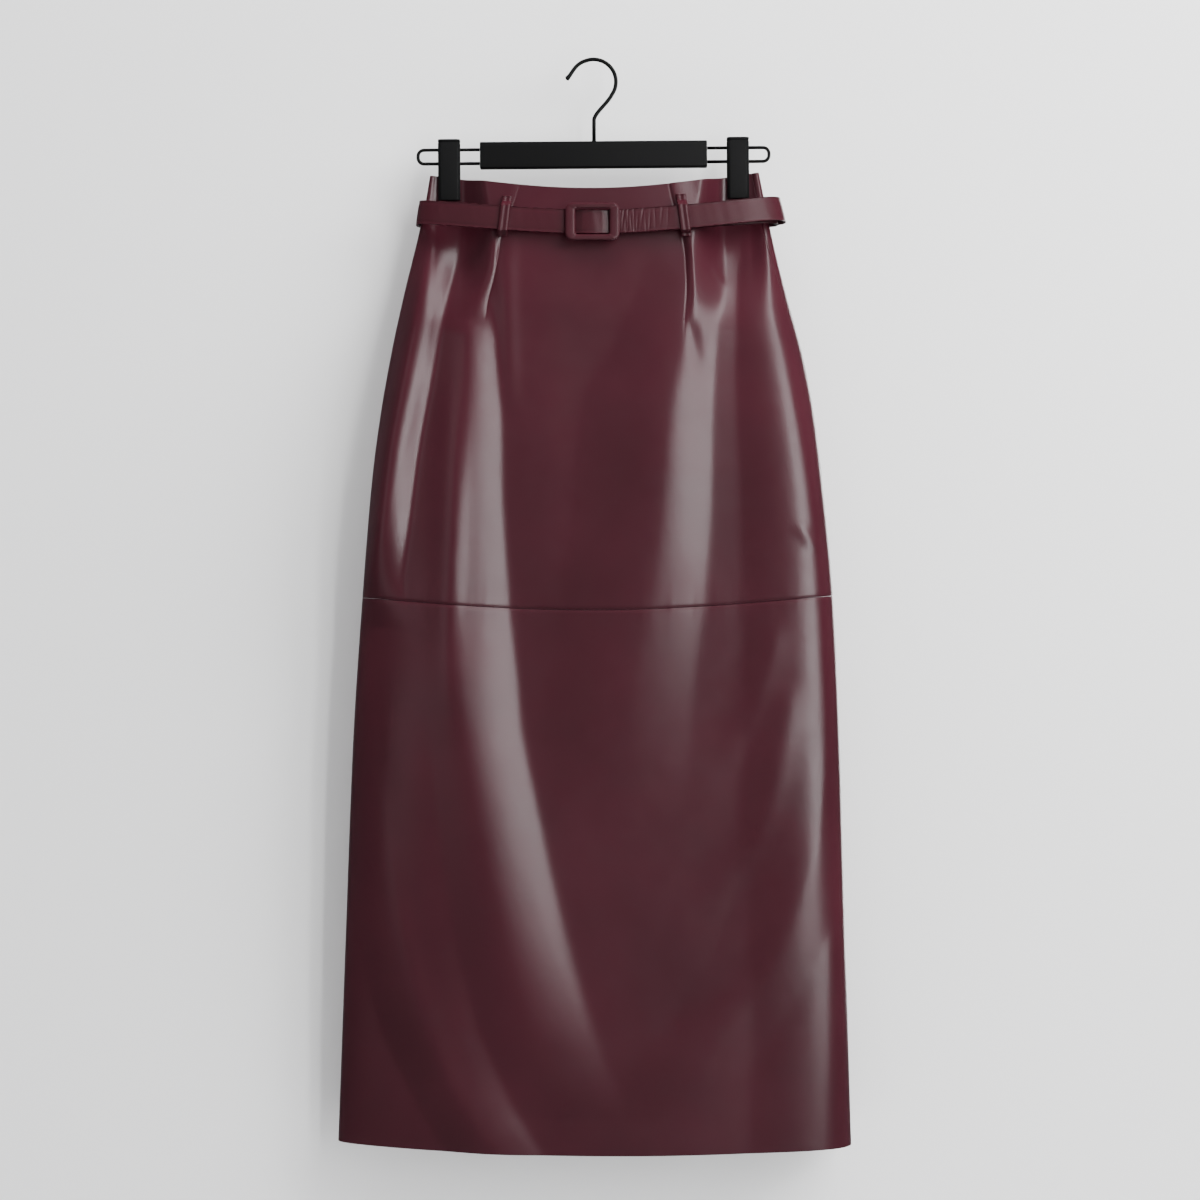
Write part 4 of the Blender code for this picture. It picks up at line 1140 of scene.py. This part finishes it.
def make_frame_wires():
    """The two ends of the flat wire frame, each a loop that comes out of the end of the bar."""
    z = BAR_Z - FRAME_DROP
    for name, sign in (("hanger_wire_left", -1), ("hanger_wire_right", 1)):
        corner_x, rise = FRAME_HALF_LENGTH - FRAME_CORNER, FRAME_HALF_HEIGHT - FRAME_CORNER
        lower_corner = arc(corner_x, z - rise, FRAME_CORNER, -90, 0, 15)
        upper_corner = arc(corner_x, z + rise, FRAME_CORNER, 0, 90, 15)
        start = BAR_LENGTH / 2 + GAP
        path = [(start, z - FRAME_HALF_HEIGHT), *lower_corner, *upper_corner, (start, z + FRAME_HALF_HEIGHT)]
        make_wire(name, [(sign * px, pz) for px, pz in path], FRAME_WIRE_RADIUS, tilt=True)


def make_clips():
    """Two jaws a clip, with slanted outer edges and a rolled lip along the top."""
    half = CLIP_WIDTH / 2
    for name, clip_x in (("clip_left", -CLIP_X), ("clip_right", CLIP_X)):
        for jaw, side in (("front", -1), ("back", 1)):
            flat = half - CLIP_CHAMFER
            slant = JAW_OUTER - CLIP_CHAMFER * CLIP_SLANT
            outline = [(-half, JAW_INNER), (half, JAW_INNER), (half, slant), (flat, JAW_OUTER)]
            outline += [(-flat, JAW_OUTER), (-half, slant)]
            outline = soft_corners([(clip_x + x, side * y) for x, y in outline], CLIP_CORNER)
            stations = rounded_stations(CLIP_BOTTOM, CLIP_TOP, CLIP_END, 5)
            lip = CLIP_TOP - LIP_DROP
            groove = [(lip - LIP_HALF_TOP, 0.0), (lip - LIP_HALF_FLOOR, LIP_DEPTH)]
            groove += [(lip + LIP_HALF_FLOOR, LIP_DEPTH), (lip + LIP_HALF_TOP, 0.0)]
            stations = stations[:6] + groove + stations[6:]
            swept(f"{name}_{jaw}_jaw", outline, stations, (0, 0, 0), "z", BLACK_LACQUER)


def make_hook():
    """The wire hook: a flared tip, a round crown and a soft bend into the upright stem."""
    centre_z = HOOK_WIRE_RADIUS - HOOK_RADIUS
    crown = arc(0, centre_z, HOOK_RADIUS, 110, -35, 60)
    tip = bend((-27.5, -18.1), (-21, -13), (-20, -3), crown[0], 24)
    shoulder = bend(crown[-1], (14, -42), (2.5, -50), (STEM_X, STEM_TOP), 30)
    stem_foot = (STEM_X, BAR_Z + BAR_HEIGHT / 2 + GAP)
    make_wire("hanger_hook", [*tip[:-1], *crown, *shoulder[1:], stem_foot], HOOK_WIRE_RADIUS, ball_start=True)


# The form of a panel's cut as it shows: its greatest width, its length and its flat area, in metres, and what
# it hangs from. The script fills in none.
Cut = namedtuple("Cut", "panel width length area hangs_from")


# The camera, the stage and the lights, in metres but for the camera's place

STAGE_HALF, STAGE_TOP, FLOOR_Z, FLOOR_NEAR, WALL_BEHIND = 5.0, 3.0, -2.2, -1.6, 0.004
STAGE_COLOUR = (0.88, 0.88, 0.885)
SKY_COLOUR, SKY_STRENGTH = (0.80, 0.82, 0.85), 0.12

CAMERA_X, CAMERA_Z, CAMERA_DISTANCE = 6.5, -538.6, 3000.0
LENS, SENSOR = 90.0, 36.0


def make_camera():
    data = bpy.data.cameras.new("camera")
    data.lens, data.sensor_width = LENS, SENSOR
    camera = bpy.data.objects.new("camera", data)
    camera.location = (CAMERA_X * MM, -CAMERA_DISTANCE * MM, CAMERA_Z * MM)
    camera.rotation_euler = (math.radians(90), 0, 0)
    bpy.context.scene.collection.objects.link(camera)
    bpy.context.scene.camera = camera


def plane(name, corners, material):
    mesh = bpy.data.meshes.new(name)
    mesh.from_pydata(corners, [], [(0, 1, 2, 3)])
    mesh.materials.append(material)
    made = bpy.data.objects.new(name, mesh)
    bpy.context.scene.collection.objects.link(made)
    made.visible_glossy = False
    made.visible_shadow = False
    return made


def make_stage():
    paint = stage_paint("stage_paint", STAGE_COLOUR)
    wall_y = cad_high.y + WALL_BEHIND
    low_left, low_right = (-STAGE_HALF, wall_y, FLOOR_Z), (STAGE_HALF, wall_y, FLOOR_Z)
    high_left, high_right = (-STAGE_HALF, wall_y, STAGE_TOP), (STAGE_HALF, wall_y, STAGE_TOP)
    near_left, near_right = (-STAGE_HALF, FLOOR_NEAR, FLOOR_Z), (STAGE_HALF, FLOOR_NEAR, FLOOR_Z)
    plane("backdrop", [low_left, low_right, high_right, high_left], paint)
    plane("floor", [near_left, near_right, low_right, low_left], paint)


AreaLight = namedtuple("AreaLight", "name azimuth elevation distance width height power glossy")
LIGHTS = (
    AreaLight("strip_near", 24, 4, 3.0, 0.18, 2.4, 26, True),
    AreaLight("strip_far", 34, 4, 3.0, 0.25, 2.4, 24, True),
    AreaLight("glow_right", 30, 4, 3.1, 1.2, 2.4, 7, True),
    AreaLight("glow_left", -28, 8, 3.0, 1.0, 2.4, 4, True),
    AreaLight("strip_high", 31, 42, 3.0, 0.55, 1.5, 26, True),
    AreaLight("key", 62, 32, 3.0, 1.8, 1.8, 180, False),
    AreaLight("fill_left", -82, 14, 3.0, 2.0, 2.4, 34, False),
    AreaLight("top", -8, 78, 3.0, 2.8, 1.4, 180, False),
    AreaLight("back_left", 196, 20, 3.2, 1.0, 2.0, 70, False),
    AreaLight("back_right", 152, 8, 3.2, 0.4, 2.4, 40, True),
)
LIGHT_TARGET = Vector((0, 0, -0.55))


def make_lights():
    for light in LIGHTS:
        data = bpy.data.lights.new(light.name, "AREA")
        data.shape = "RECTANGLE"
        data.size, data.size_y, data.energy = light.width, light.height, light.power
        lamp = bpy.data.objects.new(light.name, data)
        lamp.visible_glossy = light.glossy
        azimuth, elevation = math.radians(light.azimuth), math.radians(light.elevation)
        reach = math.cos(elevation)
        away = Vector((math.sin(azimuth) * reach, -math.cos(azimuth) * reach, math.sin(elevation)))
        lamp.location = LIGHT_TARGET + away * light.distance
        lamp.rotation_euler = away.to_track_quat("Z", "Y").to_euler()
        bpy.context.scene.collection.objects.link(lamp)
    world = bpy.data.worlds.new("world")
    world.use_nodes = True
    background = world.node_tree.nodes["Background"]
    background.inputs["Color"].default_value = (*SKY_COLOUR, 1)
    background.inputs["Strength"].default_value = SKY_STRENGTH
    bpy.context.scene.world = world


make_camera()
make_stage()
make_lights()
make_panels()
make_strap()
make_buckle()
for spec in BELT_LOOPS:
    make_belt_loop(spec)
make_zip()
make_bar()
make_frame_wires()
make_clips()
make_hook()
